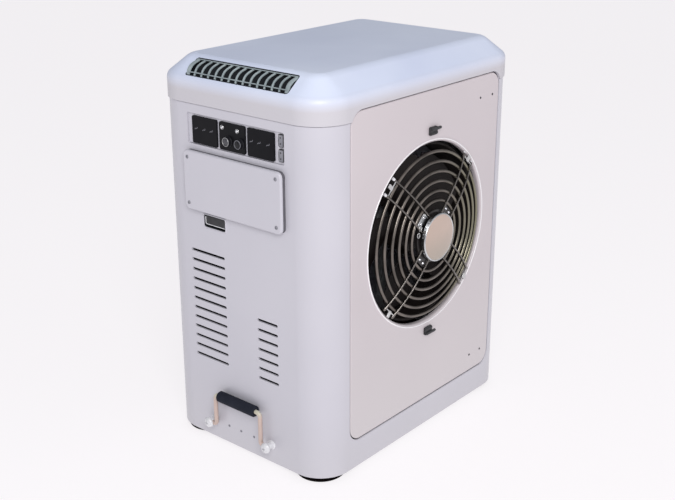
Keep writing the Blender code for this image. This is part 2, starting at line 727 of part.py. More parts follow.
def guard_hub_plate():
    """The dark plate behind the badge, with a raised centre and an arm under each pair of spokes."""
    face = FRONT_Y - HUB_PLATE_FACE
    back = face + HUB_PLATE_THICKNESS
    plate = cylinder("guard_hub_plate", (FAN_X, back, FAN_Z), (FAN_X, face, FAN_Z), HUB_PLATE_RADIUS,
                     "black_plastic", 24)
    arms = bmesh.new()
    for corner in range(4):
        turn = Matrix.Rotation(-math.radians(45 + 90 * corner), 4, "Y")
        arm = bmesh.new()
        add_block(arm, (0.040, -HUB_PLATE_FACE, -SPOKE_HALF_SPACING),
                  (HUB_ARM_END, -HUB_PLATE_FACE + HUB_PLATE_THICKNESS / 2, SPOKE_HALF_SPACING))
        arm.transform(Matrix.Translation((FAN_X, FRONT_Y, FAN_Z)) @ turn)
        piece = bpy.data.meshes.new("arm")
        arm.to_mesh(piece)
        arm.free()
        arms.from_mesh(piece)
    join(plate, place("hub_plate_arms", to_mesh(arms, "hub_plate_arms"), None))
    return join(plate, cylinder("hub_plate_boss", (FAN_X, face + 0.002, FAN_Z),
                                (FAN_X, FRONT_Y - BADGE_FOOT_PROUD + GAP, FAN_Z), HUB_BOSS_RADIUS, None, 24))


def hub_badge():
    """The plain domed disc over the guard's centre plate."""
    rise = BADGE_FACE_PROUD - BADGE_FOOT_PROUD
    profile = ((0, rise), (BADGE_RADIUS * 0.6, rise - 0.0004), (BADGE_RADIUS - 0.002, rise - 0.0014),
               (BADGE_RADIUS, rise - 0.0030), (BADGE_RADIUS, 0), (0, 0))
    base = (FAN_X, FRONT_Y - BADGE_FOOT_PROUD, FAN_Z)
    return turned("hub_badge", profile, "badge_beige", base, (0, -1, 0), 28)


def guard_latch(side, name):
    """Block and lever above the guard (side 1) or below it (side -1)."""
    middle_z = FAN_Z + side * LATCH_REACH
    half_width, half_height = LATCH_BLOCK_WIDTH / 2, LATCH_BLOCK_HEIGHT / 2
    face = FRONT_Y - LATCH_BLOCK_THICKNESS
    block("latch_block_" + name, (LATCH_X - half_width, face, middle_z - half_height),
          (LATCH_X + half_width, FRONT_Y - GAP, middle_z + half_height), "black_plastic", 0.002, "Y", 2)
    pivot = Vector((LATCH_X - half_width + 0.005, face - GAP, middle_z + side * 0.005))
    shape = bmesh.new()
    add_block(shape, pivot + Vector((-0.004, -LEVER_THICKNESS, -LEVER_WIDTH / 2)),
              pivot + Vector((LEVER_LENGTH, 0, LEVER_WIDTH / 2)), 0.0028, "Y", 3)
    return place("guard_latch_" + name, to_mesh(shape, "guard_latch_" + name), "zinc_steel", pivot)


# Door hinges: a leaf with two knuckles inside the door turns on a pin fixed to an arm on the cabinet.

def hinge(name, height):
    skin = FRONT_Y + DOOR_SKIN + GAP
    axis = Vector((HINGE_X, HINGE_Y, height))
    up = Vector((0, 0, 1))
    leaf = block("hinge_leaf_" + name, (0.186, skin, height - KNUCKLE_REACH),
                 (HINGE_X - 0.006, skin + SHEET, height + KNUCKLE_REACH), "zinc_steel", origin=axis)
    fingers = bmesh.new()
    pipes = bmesh.new()
    slot = HINGE_ARM + 0.0008
    for low, high in ((-KNUCKLE_REACH, -slot), (slot, KNUCKLE_REACH)):
        add_block(fingers, (HINGE_X - 0.007, skin, height + low), (HINGE_X, skin + SHEET, height + high))
        add_cylinder(pipes, axis + up * low, axis + up * high, KNUCKLE_RADIUS, 16)
    join(leaf, place("fingers_" + name, to_mesh(fingers, "fingers_" + name), None))
    join(leaf, place("knuckles_" + name, to_mesh(pipes, "knuckles_" + name), None))
    cut(leaf, cylinder("pin_hole_" + name, axis - up * 0.02, axis + up * 0.02, PIN_RADIUS + GAP, None, 12))
    arm_end = HINGE_Y + 0.0325
    bracket = block("hinge_bracket_" + name, (HINGE_X - SHEET / 2, HINGE_Y, height - HINGE_ARM),
                    (HINGE_X + SHEET / 2, arm_end, height + HINGE_ARM), "zinc_steel")
    join(bracket, block("bracket_foot_" + name, (HINGE_X - SHEET / 2, arm_end - SHEET, height - HINGE_ARM),
                        (HINGE_X + 0.0715, arm_end, height + HINGE_ARM), None))
    pin_reach = KNUCKLE_REACH + 0.0005
    join(bracket, cylinder("pin_" + name, axis - up * pin_reach, axis + up * pin_reach, PIN_RADIUS, None, 12))


# Rear grille, coil, and the circuits under the deck.

def rear_grille():
    low = (REAR_LEFT + GAP, -FRONT_Y - WALL + 0.0005, REAR_BOTTOM + GAP)
    high = (REAR_RIGHT - GAP, -FRONT_Y + REAR_PROUD, REAR_TOP - GAP)
    grille = block("rear_grille", low, high, "black_plastic", REAR_RADIUS - GAP, "Y", 3)
    slots = bmesh.new()
    pitch = (REAR_TOP - REAR_BOTTOM - 0.04) / REAR_SLOTS
    for slot in range(REAR_SLOTS):
        middle = REAR_BOTTOM + 0.02 + (slot + 0.5) * pitch
        add_block(slots, (REAR_LEFT + 0.022, -FRONT_Y - 0.02, middle - pitch * 0.3),
                  (REAR_RIGHT - 0.022, -FRONT_Y + 0.02, middle + pitch * 0.3))
    return cut(grille, place("rear_slot_cutter", to_mesh(slots, "rear_slot_cutter"), None))


def evaporator_coil():
    """The finned block between the rear grille and the fan."""
    return block("evaporator_coil", (REAR_LEFT + 0.005, COIL_FRONT, PAN_FLOOR),
                 (REAR_RIGHT - 0.005, COIL_BACK, REAR_TOP + 0.005), "coil_aluminium")


def compressor():
    x, y = COMPRESSOR
    r = COMPRESSOR_RADIUS
    top = COMPRESSOR_TOP
    profile = ((0, top), (0.012, top), (0.014, top - 0.008), (r - 0.012, top - 0.014),
               (r - 0.002, top - 0.028), (r, top - 0.040), (r, 0.050), (r - 0.004, 0.036), (r + 0.010, 0.030),
               (r + 0.010, PAN_FLOOR), (0, PAN_FLOOR))
    return turned("compressor", profile, "fan_black", (x, y, 0))


def accumulator():
    x, y = COMPRESSOR[0], ACCUMULATOR_Y
    r, top = 0.034, ACCUMULATOR_TOP
    profile = ((0, top), (0.012, top), (r - 0.004, top - 0.011), (r, top - 0.023), (r, 0.060),
               (r - 0.006, 0.044), (r - 0.006, PAN_FLOOR), (0, PAN_FLOOR))
    return turned("accumulator", profile, "fan_black", (x, y, 0))


def reversing_valve():
    """The valve body with the line to the water exchanger."""
    x, y, z = VALVE
    valve = cylinder("reversing_valve", (x - 0.045, y, z), (x + 0.045, y, z), VALVE_RADIUS, "copper", 20)
    path = rounded_path(((x + 0.040, y, z), (EXCHANGER[0], y, z),
                         (EXCHANGER[0], EXCHANGER[1] - EXCHANGER_RADIUS - GAP, z)), 0.025)
    return join(valve, tube("exchanger_line", path, 0.006, None))


def discharge_line():
    x, y, z = VALVE
    top = 0.254
    path = rounded_path(((*COMPRESSOR, COMPRESSOR_TOP + GAP), (*COMPRESSOR, top), (x, COMPRESSOR[1], top),
                         (x, y, top), (x, y, z + VALVE_RADIUS + GAP)), 0.012)
    return tube("discharge_line", path, 0.005, "copper")


def suction_line():
    x, y, z = VALVE
    back, low, top = ACCUMULATOR_Y, 0.110, 0.246
    path = rounded_path(((x, y, z - VALVE_RADIUS - GAP), (x, y, low), (x, back, low), (x, back, top),
                         (COMPRESSOR[0], back, top), (COMPRESSOR[0], back, ACCUMULATOR_TOP + GAP)), 0.020)
    return tube("suction_line", path, 0.007, "copper")


def water_exchanger():
    r = EXCHANGER_RADIUS
    profile = ((0, 0.245), (r - 0.018, 0.245), (r - 0.004, 0.238), (r, 0.226), (r, 0.040), (r - 0.006, 0.030),
               (r - 0.006, PAN_FLOOR), (0, PAN_FLOOR))
    return turned("water_exchanger", profile, "black_plastic", (*EXCHANGER, 0), segments=20)


def water_union(name):
    """A pipe union through the cabinet's side, open from end to end."""
    bore, pipe = 0.016, 0.021
    inner_end = EXCHANGER[0] + EXCHANGER_RADIUS + 0.002 + SIDE_X
    nut, flange = 0.030, 0.033
    profile = ((bore, UNION_REACH), (pipe, UNION_REACH), (pipe, 0.036), (nut, 0.034), (nut, 0.014),
               (pipe, 0.012), (pipe, 0.005), (flange, 0.005), (flange, GAP), (pipe, GAP), (pipe, inner_end),
               (bore, inner_end), (bore, UNION_REACH))
    return turned(name, profile, "black_plastic", (-SIDE_X, UNION_Y, UNION_HEIGHTS[name]), (1, 0, 0))


def cable_gland():
    """The supply lead's gland, with no lead in it."""
    bore, thread, end = 0.0045, 0.008, 0.026
    profile = ((bore, end), (0.0075, end), (0.011, 0.018), (0.011, 0.008), (0.013, 0.007), (0.013, GAP),
               (thread, GAP), (thread, -0.012), (bore, -0.012), (bore, end))
    return turned("cable_gland", profile, "black_plastic", (-SIDE_X, GLAND_Y, GLAND_Z), (1, 0, 0), 12)


# Control side.

def control_fascia():
    """The sunk panel under the modules, with the frame round the two rockers."""
    face = SIDE_X + PANEL_SINK
    fascia = block("control_fascia", (face, -PANEL_HALF_WIDTH + GAP, PANEL_BOTTOM + GAP),
                   (face + 0.002, PANEL_HALF_WIDTH - GAP, PANEL_TOP - GAP), "cabinet_white", 0.0037, "X", 2)
    frame = block("rocker_frame", (SIDE_X - 0.0005, ROCKER_Y - 0.0072, 0.7060),
                  (face + 0.001, ROCKER_Y + 0.0072, 0.7655), None, 0.0015, "X", 2)
    join(fascia, frame)
    windows = bmesh.new()
    half_y, half_z = ROCKER_WIDTH / 2 + 0.0004, ROCKER_HEIGHT / 2 + 0.0008
    for height in ROCKER_HEIGHTS.values():
        add_block(windows, (SIDE_X - 0.01, ROCKER_Y - half_y, height - half_z),
                  (face - 0.0001, ROCKER_Y + half_y, height + half_z))
    return cut(fascia, place("rocker_windows", to_mesh(windows, "rocker_windows"), None))


def module(name, middle):
    face = SIDE_X + PANEL_SINK - GAP
    item = block(name, (SIDE_X - MODULE_PROUD, middle - MODULE_WIDTH / 2, MODULE_BOTTOM),
                 (face, middle + MODULE_WIDTH / 2, MODULE_TOP), "control_black", 0.003, "X", 3)
    if name == "knob_panel":
        holes = bmesh.new()
        for y, z in BUTTON_PLACES.values():
            add_cylinder(holes, (SIDE_X - 0.01, y, z), (SIDE_X + 0.01, y, z), BUTTON_RADIUS + GAP, 16)
        cut(item, place("button_holes", to_mesh(holes, "button_holes"), None))
    return item


def knob(name, y, z):
    base = SIDE_X - MODULE_PROUD - GAP
    r = KNOB_RADIUS
    profile = ((0, KNOB_PROUD), (r - 0.003, KNOB_PROUD), (r - 0.0015, KNOB_PROUD - 0.001),
               (r - 0.0008, 0.002), (r, 0.0015), (r, 0), (0, 0))
    return turned(name, profile, "control_black", (base, y, z), (-1, 0, 0), 20)


def button(name, y, z):
    front = SIDE_X - MODULE_PROUD - BUTTON_PROUD
    back = SIDE_X + PANEL_SINK - 0.0023
    return cylinder(name, (back, y, z), (front, y, z), BUTTON_RADIUS, "bright_wire", 16, origin=(back, y, z))


def rocker(name, height):
    front, back = SIDE_X - 0.0025, SIDE_X + PANEL_SINK - 0.0023
    axis = (SIDE_X + 0.0005, ROCKER_Y, height)
    half_y, half_z = ROCKER_WIDTH / 2, ROCKER_HEIGHT / 2
    return block(name, (front, ROCKER_Y - half_y, height - half_z),
                 (back, ROCKER_Y + half_y, height + half_z), "zinc_steel", 0.0008, "Y", 2, axis)


def control_box():
    """The open-fronted tray behind the controls that holds the electronics."""
    shape = bmesh.new()
    add_block(shape, (SIDE_X + 0.0080, -0.140, 0.560), (SIDE_X + 0.100, 0.140, 0.776), 0.008, "X", 2)
    open_side = [face for face in shape.faces if face.normal.x < -0.5]
    bmesh.ops.delete(shape, geom=open_side, context="FACES_ONLY")
    return solidify(place("control_box", to_mesh(shape, "control_box"), "zinc_steel"), 0.002)


def service_cover():
    shape = bmesh.new()
    low = (SIDE_X - COVER_PROUD, COVER_Y - COVER_WIDTH / 2, COVER_Z - COVER_HEIGHT / 2)
    high = (SIDE_X - GAP, COVER_Y + COVER_WIDTH / 2, COVER_Z + COVER_HEIGHT / 2)
    add_block(shape, low, high, 0.013, "X", 4)
    front = [face for face in shape.faces if face.normal.x < -0.5]
    back = [face for face in shape.faces if face.normal.x > 0.5]
    rim = list({edge for face in front for edge in face.edges})
    bmesh.ops.delete(shape, geom=back, context="FACES_ONLY")
    bmesh.ops.bevel(shape, geom=rim, offset=0.003, segments=2, affect="EDGES", profile=0.5)
    return solidify(place("service_cover", to_mesh(shape, "service_cover"), "cabinet_white"), 0.0025)


def cover_screws():
    base = SIDE_X - COVER_PROUD - GAP
    across, up = COVER_SCREW
    for name, sign_y, sign_z in (("cover_screw_top_left", 1, 1), ("cover_screw_top_right", -1, 1),
                                 ("cover_screw_bottom_left", 1, -1), ("cover_screw_bottom_right", -1, -1)):
        profile = ((0, 0.0022), (0.0026, 0.0019), (0.0042, 0.0008), (0.0044, 0), (0, 0))
        place_on = (base, COVER_Y + sign_y * across, COVER_Z + sign_z * up)
        turned(name, profile, "zinc_steel", place_on, (-1, 0, 0), 12)


def catch_pocket():
    """The cup let into the cabinet under the cover."""
    shape = bmesh.new()
    half_y, half_z = CATCH_WIDTH / 2 - GAP, CATCH_HEIGHT / 2 - GAP
    add_block(shape, (SIDE_X - 0.0006, CATCH_Y - half_y, CATCH_Z - half_z),
              (SIDE_X + CATCH_DEPTH, CATCH_Y + half_y, CATCH_Z + half_z), 0.0047, "X", 2)
    mouth = [face for face in shape.faces if face.normal.x < -0.5]
    bmesh.ops.delete(shape, geom=mouth, context="FACES_ONLY")
    return solidify(place("catch_pocket", to_mesh(shape, "catch_pocket"), "bright_wire"), 0.0013)


def catch_paddle():
    """The finger paddle, hung from its upper edge."""
    axis = (SIDE_X + 0.0035, CATCH_Y, CATCH_Z + 0.0100)
    half_y = CATCH_WIDTH / 2 - 0.003
    return block("catch_paddle", (SIDE_X + 0.0015, CATCH_Y - half_y, CATCH_Z - 0.0085),
                 (SIDE_X + 0.0045, CATCH_Y + half_y, CATCH_Z + 0.0115), "control_black", 0.0012, "Y", 2, axis)


# Fold-out handle: a bent rod with a foam grip that turns in two bosses.

def carry_handle():
    x = SIDE_X - HANDLE_PROUD
    corners = ((x, HANDLE_Y + BOSS_OFFSET, HANDLE_PIVOT_Z), (x, HANDLE_Y + LEG_OFFSET, HANDLE_PIVOT_Z),
               (x, HANDLE_Y + LEG_OFFSET, HANDLE_GRIP_Z), (x, HANDLE_Y - LEG_OFFSET, HANDLE_GRIP_Z),
               (x, HANDLE_Y - LEG_OFFSET, HANDLE_PIVOT_Z), (x, HANDLE_Y - BOSS_OFFSET, HANDLE_PIVOT_Z))
    path = rounded_path(corners, 0.0085)
    return tube("carry_handle", path, HANDLE_ROD, "cream_rod", origin=(x, HANDLE_Y, HANDLE_PIVOT_Z))


def handle_grip():
    half, bore = GRIP_HALF_LENGTH, HANDLE_ROD + GAP
    r, edge = GRIP_RADIUS, 0.002
    profile = ((bore, half), (r - edge, half), (r, half - edge), (r, edge - half), (r - edge, -half),
               (bore, -half), (bore, half))
    middle = (SIDE_X - HANDLE_PROUD, HANDLE_Y, HANDLE_GRIP_Z)
    return turned("handle_grip", profile, "grip_foam", middle, (0, 1, 0))


def handle_boss(name, side):
    y = HANDLE_Y + side * BOSS_OFFSET
    r = BOSS_RADIUS
    top, flange = BOSS_PROUD, BOSS_RADIUS + 0.0015
    profile = ((0, top), (0.005, top - 0.0008), (0.0088, top - 0.0045), (r, top - 0.010), (r, 0.004),
               (flange, 0.003), (flange, GAP), (0, GAP))
    boss = turned(name, profile, "zinc_steel", (SIDE_X, y, HANDLE_PIVOT_Z), (-1, 0, 0))
    x = SIDE_X - HANDLE_PROUD
    inner_end, outer_end = (x, y - side * 0.02, HANDLE_PIVOT_Z), (x, y + side * 0.003, HANDLE_PIVOT_Z)
    hole = cylinder(name + "_hole", inner_end, outer_end, HANDLE_ROD + GAP, None, 16)
    return cut(boss, hole)


cabinet_shell()
cap()
cap_grille()
base_pan()
feet()
deck()
fan_bulkhead()
fan_shroud()
fan_rotor()
fan_motor()
motor_bracket()
fan_door()
fan_guard()
guard_hub_plate()
hub_badge()
guard_latch(1, "top")
guard_latch(-1, "bottom")
for hinge_name, hinge_height in HINGE_HEIGHTS.items():
    hinge(hinge_name, hinge_height)
rear_grille()
evaporator_coil()
compressor()
accumulator()
reversing_valve()
discharge_line()
suction_line()
water_exchanger()
for union_name in UNION_HEIGHTS:
    water_union(union_name)
cable_gland()
control_fascia()
for module_name, module_middle in MODULE_CENTRES.items():
    module(module_name, module_middle)
for knob_name, knob_place in KNOB_PLACES.items():
    knob(knob_name, *knob_place)
for button_name, button_place in BUTTON_PLACES.items():
    button(button_name, *button_place)
for rocker_name, rocker_height in ROCKER_HEIGHTS.items():
    rocker(rocker_name, rocker_height)
control_box()
service_cover()
cover_screws()
catch_pocket()
catch_paddle()
carry_handle()
handle_grip()
handle_boss("handle_boss_left", 1)
handle_boss("handle_boss_right", -1)
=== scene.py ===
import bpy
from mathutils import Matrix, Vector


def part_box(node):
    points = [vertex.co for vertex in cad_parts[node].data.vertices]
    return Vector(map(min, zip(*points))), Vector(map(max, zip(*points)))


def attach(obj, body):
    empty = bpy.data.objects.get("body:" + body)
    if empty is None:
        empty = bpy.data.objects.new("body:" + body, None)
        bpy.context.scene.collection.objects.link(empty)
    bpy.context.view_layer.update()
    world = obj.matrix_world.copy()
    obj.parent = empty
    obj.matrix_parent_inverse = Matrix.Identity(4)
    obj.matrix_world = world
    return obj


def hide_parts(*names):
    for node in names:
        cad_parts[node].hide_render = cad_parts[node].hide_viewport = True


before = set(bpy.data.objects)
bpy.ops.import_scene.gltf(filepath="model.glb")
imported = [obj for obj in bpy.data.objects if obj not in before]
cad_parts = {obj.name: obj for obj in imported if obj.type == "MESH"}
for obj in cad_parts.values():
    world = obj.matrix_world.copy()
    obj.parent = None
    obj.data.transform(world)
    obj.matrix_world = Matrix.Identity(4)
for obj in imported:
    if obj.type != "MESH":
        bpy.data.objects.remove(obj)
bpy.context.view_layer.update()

import math

import bmesh
import bpy
from mathutils import Matrix, Vector

# Every point below is in the cabinet's own coordinates: its middle is x = 0, y = 0, and the floor is z = 0.
SHELL_LOW, SHELL_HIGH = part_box("cabinet_shell")
HOME = Vector(((SHELL_LOW.x + SHELL_HIGH.x) / 2, (SHELL_LOW.y + SHELL_HIGH.y) / 2, 0))


def node_box(node):
    low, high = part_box(node)
    return low - HOME, high - HOME


def node_span(node):
    """A node's low and high corners, and the x, y and z of its middle."""
    low, high = node_box(node)
    return low, high, [(a + b) / 2 for a, b in zip(low, high)]


# Cabinet, cap and door
SIDE_X, FRONT_Y, BODY_BOTTOM = node_box("cabinet_shell")[0]
SEAM = node_box("cabinet_shell")[1].z
HALF_X, HALF_Y = -SIDE_X, -FRONT_Y
TOTAL = node_box("cap")[1].z
CORNER = 0.076
WALL = 0.004
CAP_INSET, CAP_OVERHANG, CAP_SHOULDER = 0.05, 0.003, 0.838
CAP_FOOT = node_box("cap")[0].z
BEVEL_ANGLE = math.atan2(TOTAL - CAP_SHOULDER, CAP_INSET + CAP_OVERHANG)
BEVEL_LENGTH = math.hypot(TOTAL - CAP_SHOULDER, CAP_INSET + CAP_OVERHANG)
GRILLE_LENGTH, GRILLE_HEIGHT, GRILLE_SLOTS = 0.29, 0.05, 14
GRILLE_FOOT = (BEVEL_LENGTH - GRILLE_HEIGHT) / 2 + 0.001
DOOR_LOW, DOOR_HIGH = Vector((-0.2565, FRONT_Y, 0.08)), Vector((0.2715, FRONT_Y + 0.013, 0.8065))
DOOR_RADIUS, DOOR_GAP = 0.032, 0.003

# Fan and guard
FAN = Vector((0.0085, FRONT_Y, 0.485))
GUARD_OUTER, GUARD_PITCH, GUARD_RINGS = 0.1855, 0.0212, 6
GUARD_INNER = GUARD_OUTER - (GUARD_RINGS - 1) * GUARD_PITCH
RIM_PROUD, CROWN_PROUD, CROWN_POWER = 0.002, 0.0145, 2.3
WIRE, SPOKE_WIRE, SPOKE_STEP, SPOKE_SIDE = 0.0037, 0.002, 0.0051, 0.0195
PLATE_PROUD, BADGE_FOOT, BADGE_RADIUS = 0.0167, 0.0217, 0.0545
BADGE_FACE = FRONT_Y - node_box("hub_badge")[0].y
ROTOR_RADIUS, ROTOR_HUB, ROTOR_Y, BLADES = 0.182, 0.052, FRONT_Y + 0.056, 5
BULKHEAD_Y, SHROUD_FRONT, SHROUD_RADIUS = FRONT_Y + 0.092, FRONT_Y + 0.019, 0.196

# Control side
PANEL = (0.7015, 0.7675, 0.138)
MODULES = {"display_left": 0.0857, "knob_panel": 0.0051, "display_right": -0.075}
MODULE_Z, MODULE_HALF = (0.7045, 0.763), 0.03675
COVER_Y, COVER_Z, COVER_HALF_Y, COVER_HALF_Z, COVER_PROUD = 0.001, 0.6245, 0.141, 0.0655, 0.014
CATCH_Y, CATCH_Z, CATCH_HALF_Y, CATCH_HALF_Z, CATCH_DEPTH = 0.067, 0.5365, 0.033, 0.0145, 0.016
SLOT_TOP, SLOT_PITCH, SLOT_HEIGHT = 0.461, 0.0227, 0.0064
SLOT_COLUMNS = (((0.0411, 0.1432), 0, 12), ((-0.1098, -0.0508), 5, 12))
HANDLE_Y, PIVOT_Z, GRIP_Z, HANDLE_PROUD = 0.004, 0.058, 0.133, 0.0145
LEG_OFFSET, BOSS_OFFSET, ROD = 0.069, 0.0886, 0.005

# ---------------------------------------------------------------- materials


def tree_of(name):
    made = bpy.data.materials.new(name)
    made.use_nodes = True
    tree = made.node_tree
    return made, tree, tree.nodes["Principled BSDF"]


def link(tree, a, b):
    tree.links.new(a, b)


def add(tree, kind, **values):
    """A new node, with values for the inputs that are named."""
    node = tree.nodes.new("ShaderNode" + kind)
    put(node, **values)
    return node


def put(node, **values):
    for key, value in values.items():
        node.inputs[key.replace("_", " ")].default_value = value


def add_ramp(tree, factor, dark, light, low=0.0, high=1.0):
    """A colour ramp from dark to light, driven by a factor."""
    ramp = tree.nodes.new("ShaderNodeValToRGB")
    for element, position, colour in zip(ramp.color_ramp.elements, (low, high), (dark, light)):
        element.position = position
        element.color = (*colour, 1)
    link(tree, factor, ramp.inputs["Fac"])
    return ramp.outputs["Color"]


def add_relief(tree, height, shader, strength, distance):
    relief = add(tree, "Bump", Strength=strength, Distance=distance)
    link(tree, height, relief.inputs["Height"])
    link(tree, relief.outputs["Normal"], shader.inputs["Normal"])


def finish(name, light, dark, roughness=0.4, spread=0.08, patch=6.0, grain=400.0, bump=0.05, metallic=0.0,
           coat=0.0, coat_roughness=0.1, dust_and_painted_light=None, painted_reflection=None, specular=0.5):
    """A surface with patchy colour, uneven gloss and a fine grain, all in the piece's own space."""
    made, tree, shader = tree_of(name)
    place = tree.nodes.new("ShaderNodeTexCoord").outputs["Object"]
    broad = add(tree, "TexNoise", Scale=patch, Detail=3.0)
    link(tree, place, broad.inputs["Vector"])
    colour = add_ramp(tree, broad.outputs["Fac"], dark, light, 0.32, 0.68)
    apart = tree.nodes.new("ShaderNodeSeparateXYZ")
    link(tree, place, apart.inputs["Vector"])
    # The height blend is dust on the cabinet paint; on the cap it keeps the painted sky reflection off the
    # skirt. The sideways blend is a painted reflection on the guard wire.
    for extra, axis in ((dust_and_painted_light, "Z"), (painted_reflection, "X")):
        if extra:
            shade, start, end, share = extra
            span = add(tree, "MapRange", From_Min=start, From_Max=end, To_Max=share)
            link(tree, apart.outputs[axis], span.inputs["Value"])
            mix = tree.nodes.new("ShaderNodeMix")
            mix.data_type = "RGBA"
            link(tree, span.outputs["Result"], mix.inputs["Factor"])
            link(tree, colour, mix.inputs["A"])
            mix.inputs["B"].default_value = (*shade, 1)
            colour = mix.outputs["Result"]
    link(tree, colour, shader.inputs["Base Color"])
    fine = add(tree, "TexNoise", Scale=grain, Detail=2.0)
    link(tree, place, fine.inputs["Vector"])
    gloss = add(tree, "MapRange", To_Min=max(0.02, roughness - spread), To_Max=min(1.0, roughness + spread))
    link(tree, broad.outputs["Fac"], gloss.inputs["Value"])
    link(tree, gloss.outputs["Result"], shader.inputs["Roughness"])
    add_relief(tree, fine.outputs["Fac"], shader, bump, 0.0006)
    put(shader, Metallic=metallic, Coat_Weight=coat, Coat_Roughness=coat_roughness,
        Specular_IOR_Level=specular)
    return made


def fin_finish(name):
    """Thin upright aluminium fins: bright fin edges with dark stripes between them, the dark stripes
    painted shade in the gaps.
    """
    made, tree, shader = tree_of(name)
    place = tree.nodes.new("ShaderNodeTexCoord")
    wave = add(tree, "TexWave", Scale=110.0, Distortion=0.4)
    wave.bands_direction = "X"
    link(tree, place.outputs["Object"], wave.inputs["Vector"])
    colour = add_ramp(tree, wave.outputs["Fac"], (0.02, 0.02, 0.025), (0.5, 0.53, 0.56))
    link(tree, colour, shader.inputs["Base Color"])
    add_relief(tree, wave.outputs["Fac"], shader, 0.7, 0.001)
    put(shader, Metallic=0.8, Roughness=0.42)
    return made


PAINT = finish("paint_white", (0.56, 0.548, 0.606), (0.53, 0.52, 0.578), 0.34, 0.05, 3.2, 620, 0.035,
               coat=0.25, coat_roughness=0.22, dust_and_painted_light=((0.52, 0.5, 0.5), 0.16, 0.014, 0.22))
# The cap's blue tint, its extra brightness and its light and dark patches are a painted sky reflection on
# the bevel and top; below the shoulder the skirt blends back to a plain grey.
CAP_PAINT_AND_SKY_REFLECTION = finish("cap_moulding_and_painted_reflection", (0.74, 0.8, 0.96), (0.64, 0.7, 0.88), 0.42, 0.08, 3.0, 480, 0.04,
                   coat=0.2, coat_roughness=0.34, dust_and_painted_light=((0.54, 0.52, 0.555), 0.846, 0.815, 0.95))
# The door is a pinker copy of the cabinet paint: painted warm light on the fan side. Lower down it turns
# lighter and greyer.
DOOR_PAINT_AND_WARM_LIGHT = finish("door_paint_and_painted_warm_light", (0.59, 0.535, 0.56), (0.555, 0.506, 0.532), 0.36, 0.05, 2.6, 620, 0.035,
                    coat=0.2, coat_roughness=0.22, dust_and_painted_light=((0.6, 0.585, 0.59), 0.4, 0.1, 0.35))
# Near-white: a painted highlight along the rolled lip of the fan opening.
LIP_PAINTED_HIGHLIGHT = finish("lip_painted_highlight", (0.88, 0.86, 0.88), (0.8, 0.78, 0.81), 0.22, 0.05, 8, 620, 0.02, coat=0.6)
# Dark grey for the band round the service cover's sides: painted shade, built as a seal.
COVER_SIDE_PAINTED_SHADE = finish("cover_side_painted_shade", (0.13, 0.126, 0.145), (0.1, 0.097, 0.112), 0.62, 0.08, 30, 700, 0.1)
MODULE = finish("module_plastic", (0.008, 0.008, 0.01), (0.005, 0.005, 0.007), 0.34, 0.08, 24, 900, 0.08,
                specular=0.1)
MARK = finish("printed_mark", (0.22, 0.22, 0.25), (0.12, 0.12, 0.14), 0.55, 0.05, 300, 900, 0.02)
KNOB = finish("knob_plastic", (0.014, 0.014, 0.018), (0.009, 0.009, 0.012), 0.36, 0.08, 60, 1100, 0.1,
              specular=0.25)
KNOB_FACE = finish("knob_face", (0.062, 0.062, 0.072), (0.04, 0.04, 0.048), 0.4, 0.08, 60, 1100, 0.1)
CHROME = finish("bright_metal", (0.8, 0.8, 0.82), (0.62, 0.62, 0.65), 0.18, 0.05, 60, 500, 0.03,
                metallic=1.0)
ZINC = finish("zinc_plate", (0.66, 0.66, 0.66), (0.5, 0.5, 0.51), 0.4, 0.1, 40, 500, 0.06, metallic=1.0)
SILVER = finish("plate_silver", (0.7, 0.71, 0.72), (0.44, 0.45, 0.46), 0.26, 0.1, 26, 500, 0.05,
                metallic=1.0)
RIB = finish("rib_plastic", (0.36, 0.42, 0.44), (0.26, 0.31, 0.33), 0.4, 0.06, 40, 800, 0.06, coat=0.15)
# Near-black: black plastic in the grille tray and catch cup, and painted shade on the sheet behind the vent
# slots.
BLACK_AND_PAINTED_SHADE = finish("black_and_painted_shade", (0.007, 0.009, 0.013), (0.004, 0.005, 0.008), 0.6, 0.05, 40, 300, 0.05,
                specular=0.3)
# Towards +X the wire turns olive: a painted reflection of the surroundings on the right-hand rings.
WIRE_FINISH = finish("guard_wire", (0.225, 0.2, 0.18), (0.125, 0.11, 0.098), 0.34, 0.08, 22, 700, 0.05,
                     metallic=1.0, painted_reflection=((0.27, 0.26, 0.18), 0.03, 0.19, 0.8))
SPOKE_FINISH = finish("guard_spoke", (0.24, 0.22, 0.205), (0.13, 0.12, 0.112), 0.26, 0.08, 18, 700, 0.05,
                      metallic=1.0)
FAN_FINISH = finish("fan_plastic", (0.013, 0.009, 0.008), (0.007, 0.005, 0.005), 0.46, 0.1, 12, 500, 0.1,
                    specular=0.25)
SHROUD_FINISH = finish("shroud_plastic", (0.016, 0.012, 0.011), (0.009, 0.007, 0.007), 0.55, 0.08, 14, 500,
                       0.08, specular=0.25)
HUB_DARK = finish("hub_dark", (0.022, 0.018, 0.017), (0.014, 0.012, 0.012), 0.36, 0.08, 30, 700, 0.06)
BADGE = finish("badge_lacquer", (0.5, 0.375, 0.312), (0.462, 0.352, 0.295), 0.26, 0.05, 16, 800, 0.02,
               coat=0.8, coat_roughness=0.06, dust_and_painted_light=((0.31, 0.275, 0.225), 0.5, 0.43, 0.8))
LATCH_FINISH = finish("latch_plastic", (0.046, 0.046, 0.05), (0.026, 0.026, 0.029), 0.42, 0.08, 60, 900,
                      0.1, specular=0.25)
ROD_FINISH = finish("handle_rod_coat", (0.56, 0.43, 0.38), (0.52, 0.405, 0.36), 0.3, 0.05, 40, 900, 0.03,
                    coat=0.3, dust_and_painted_light=((0.56, 0.58, 0.46), 0.122, 0.138, 0.8))
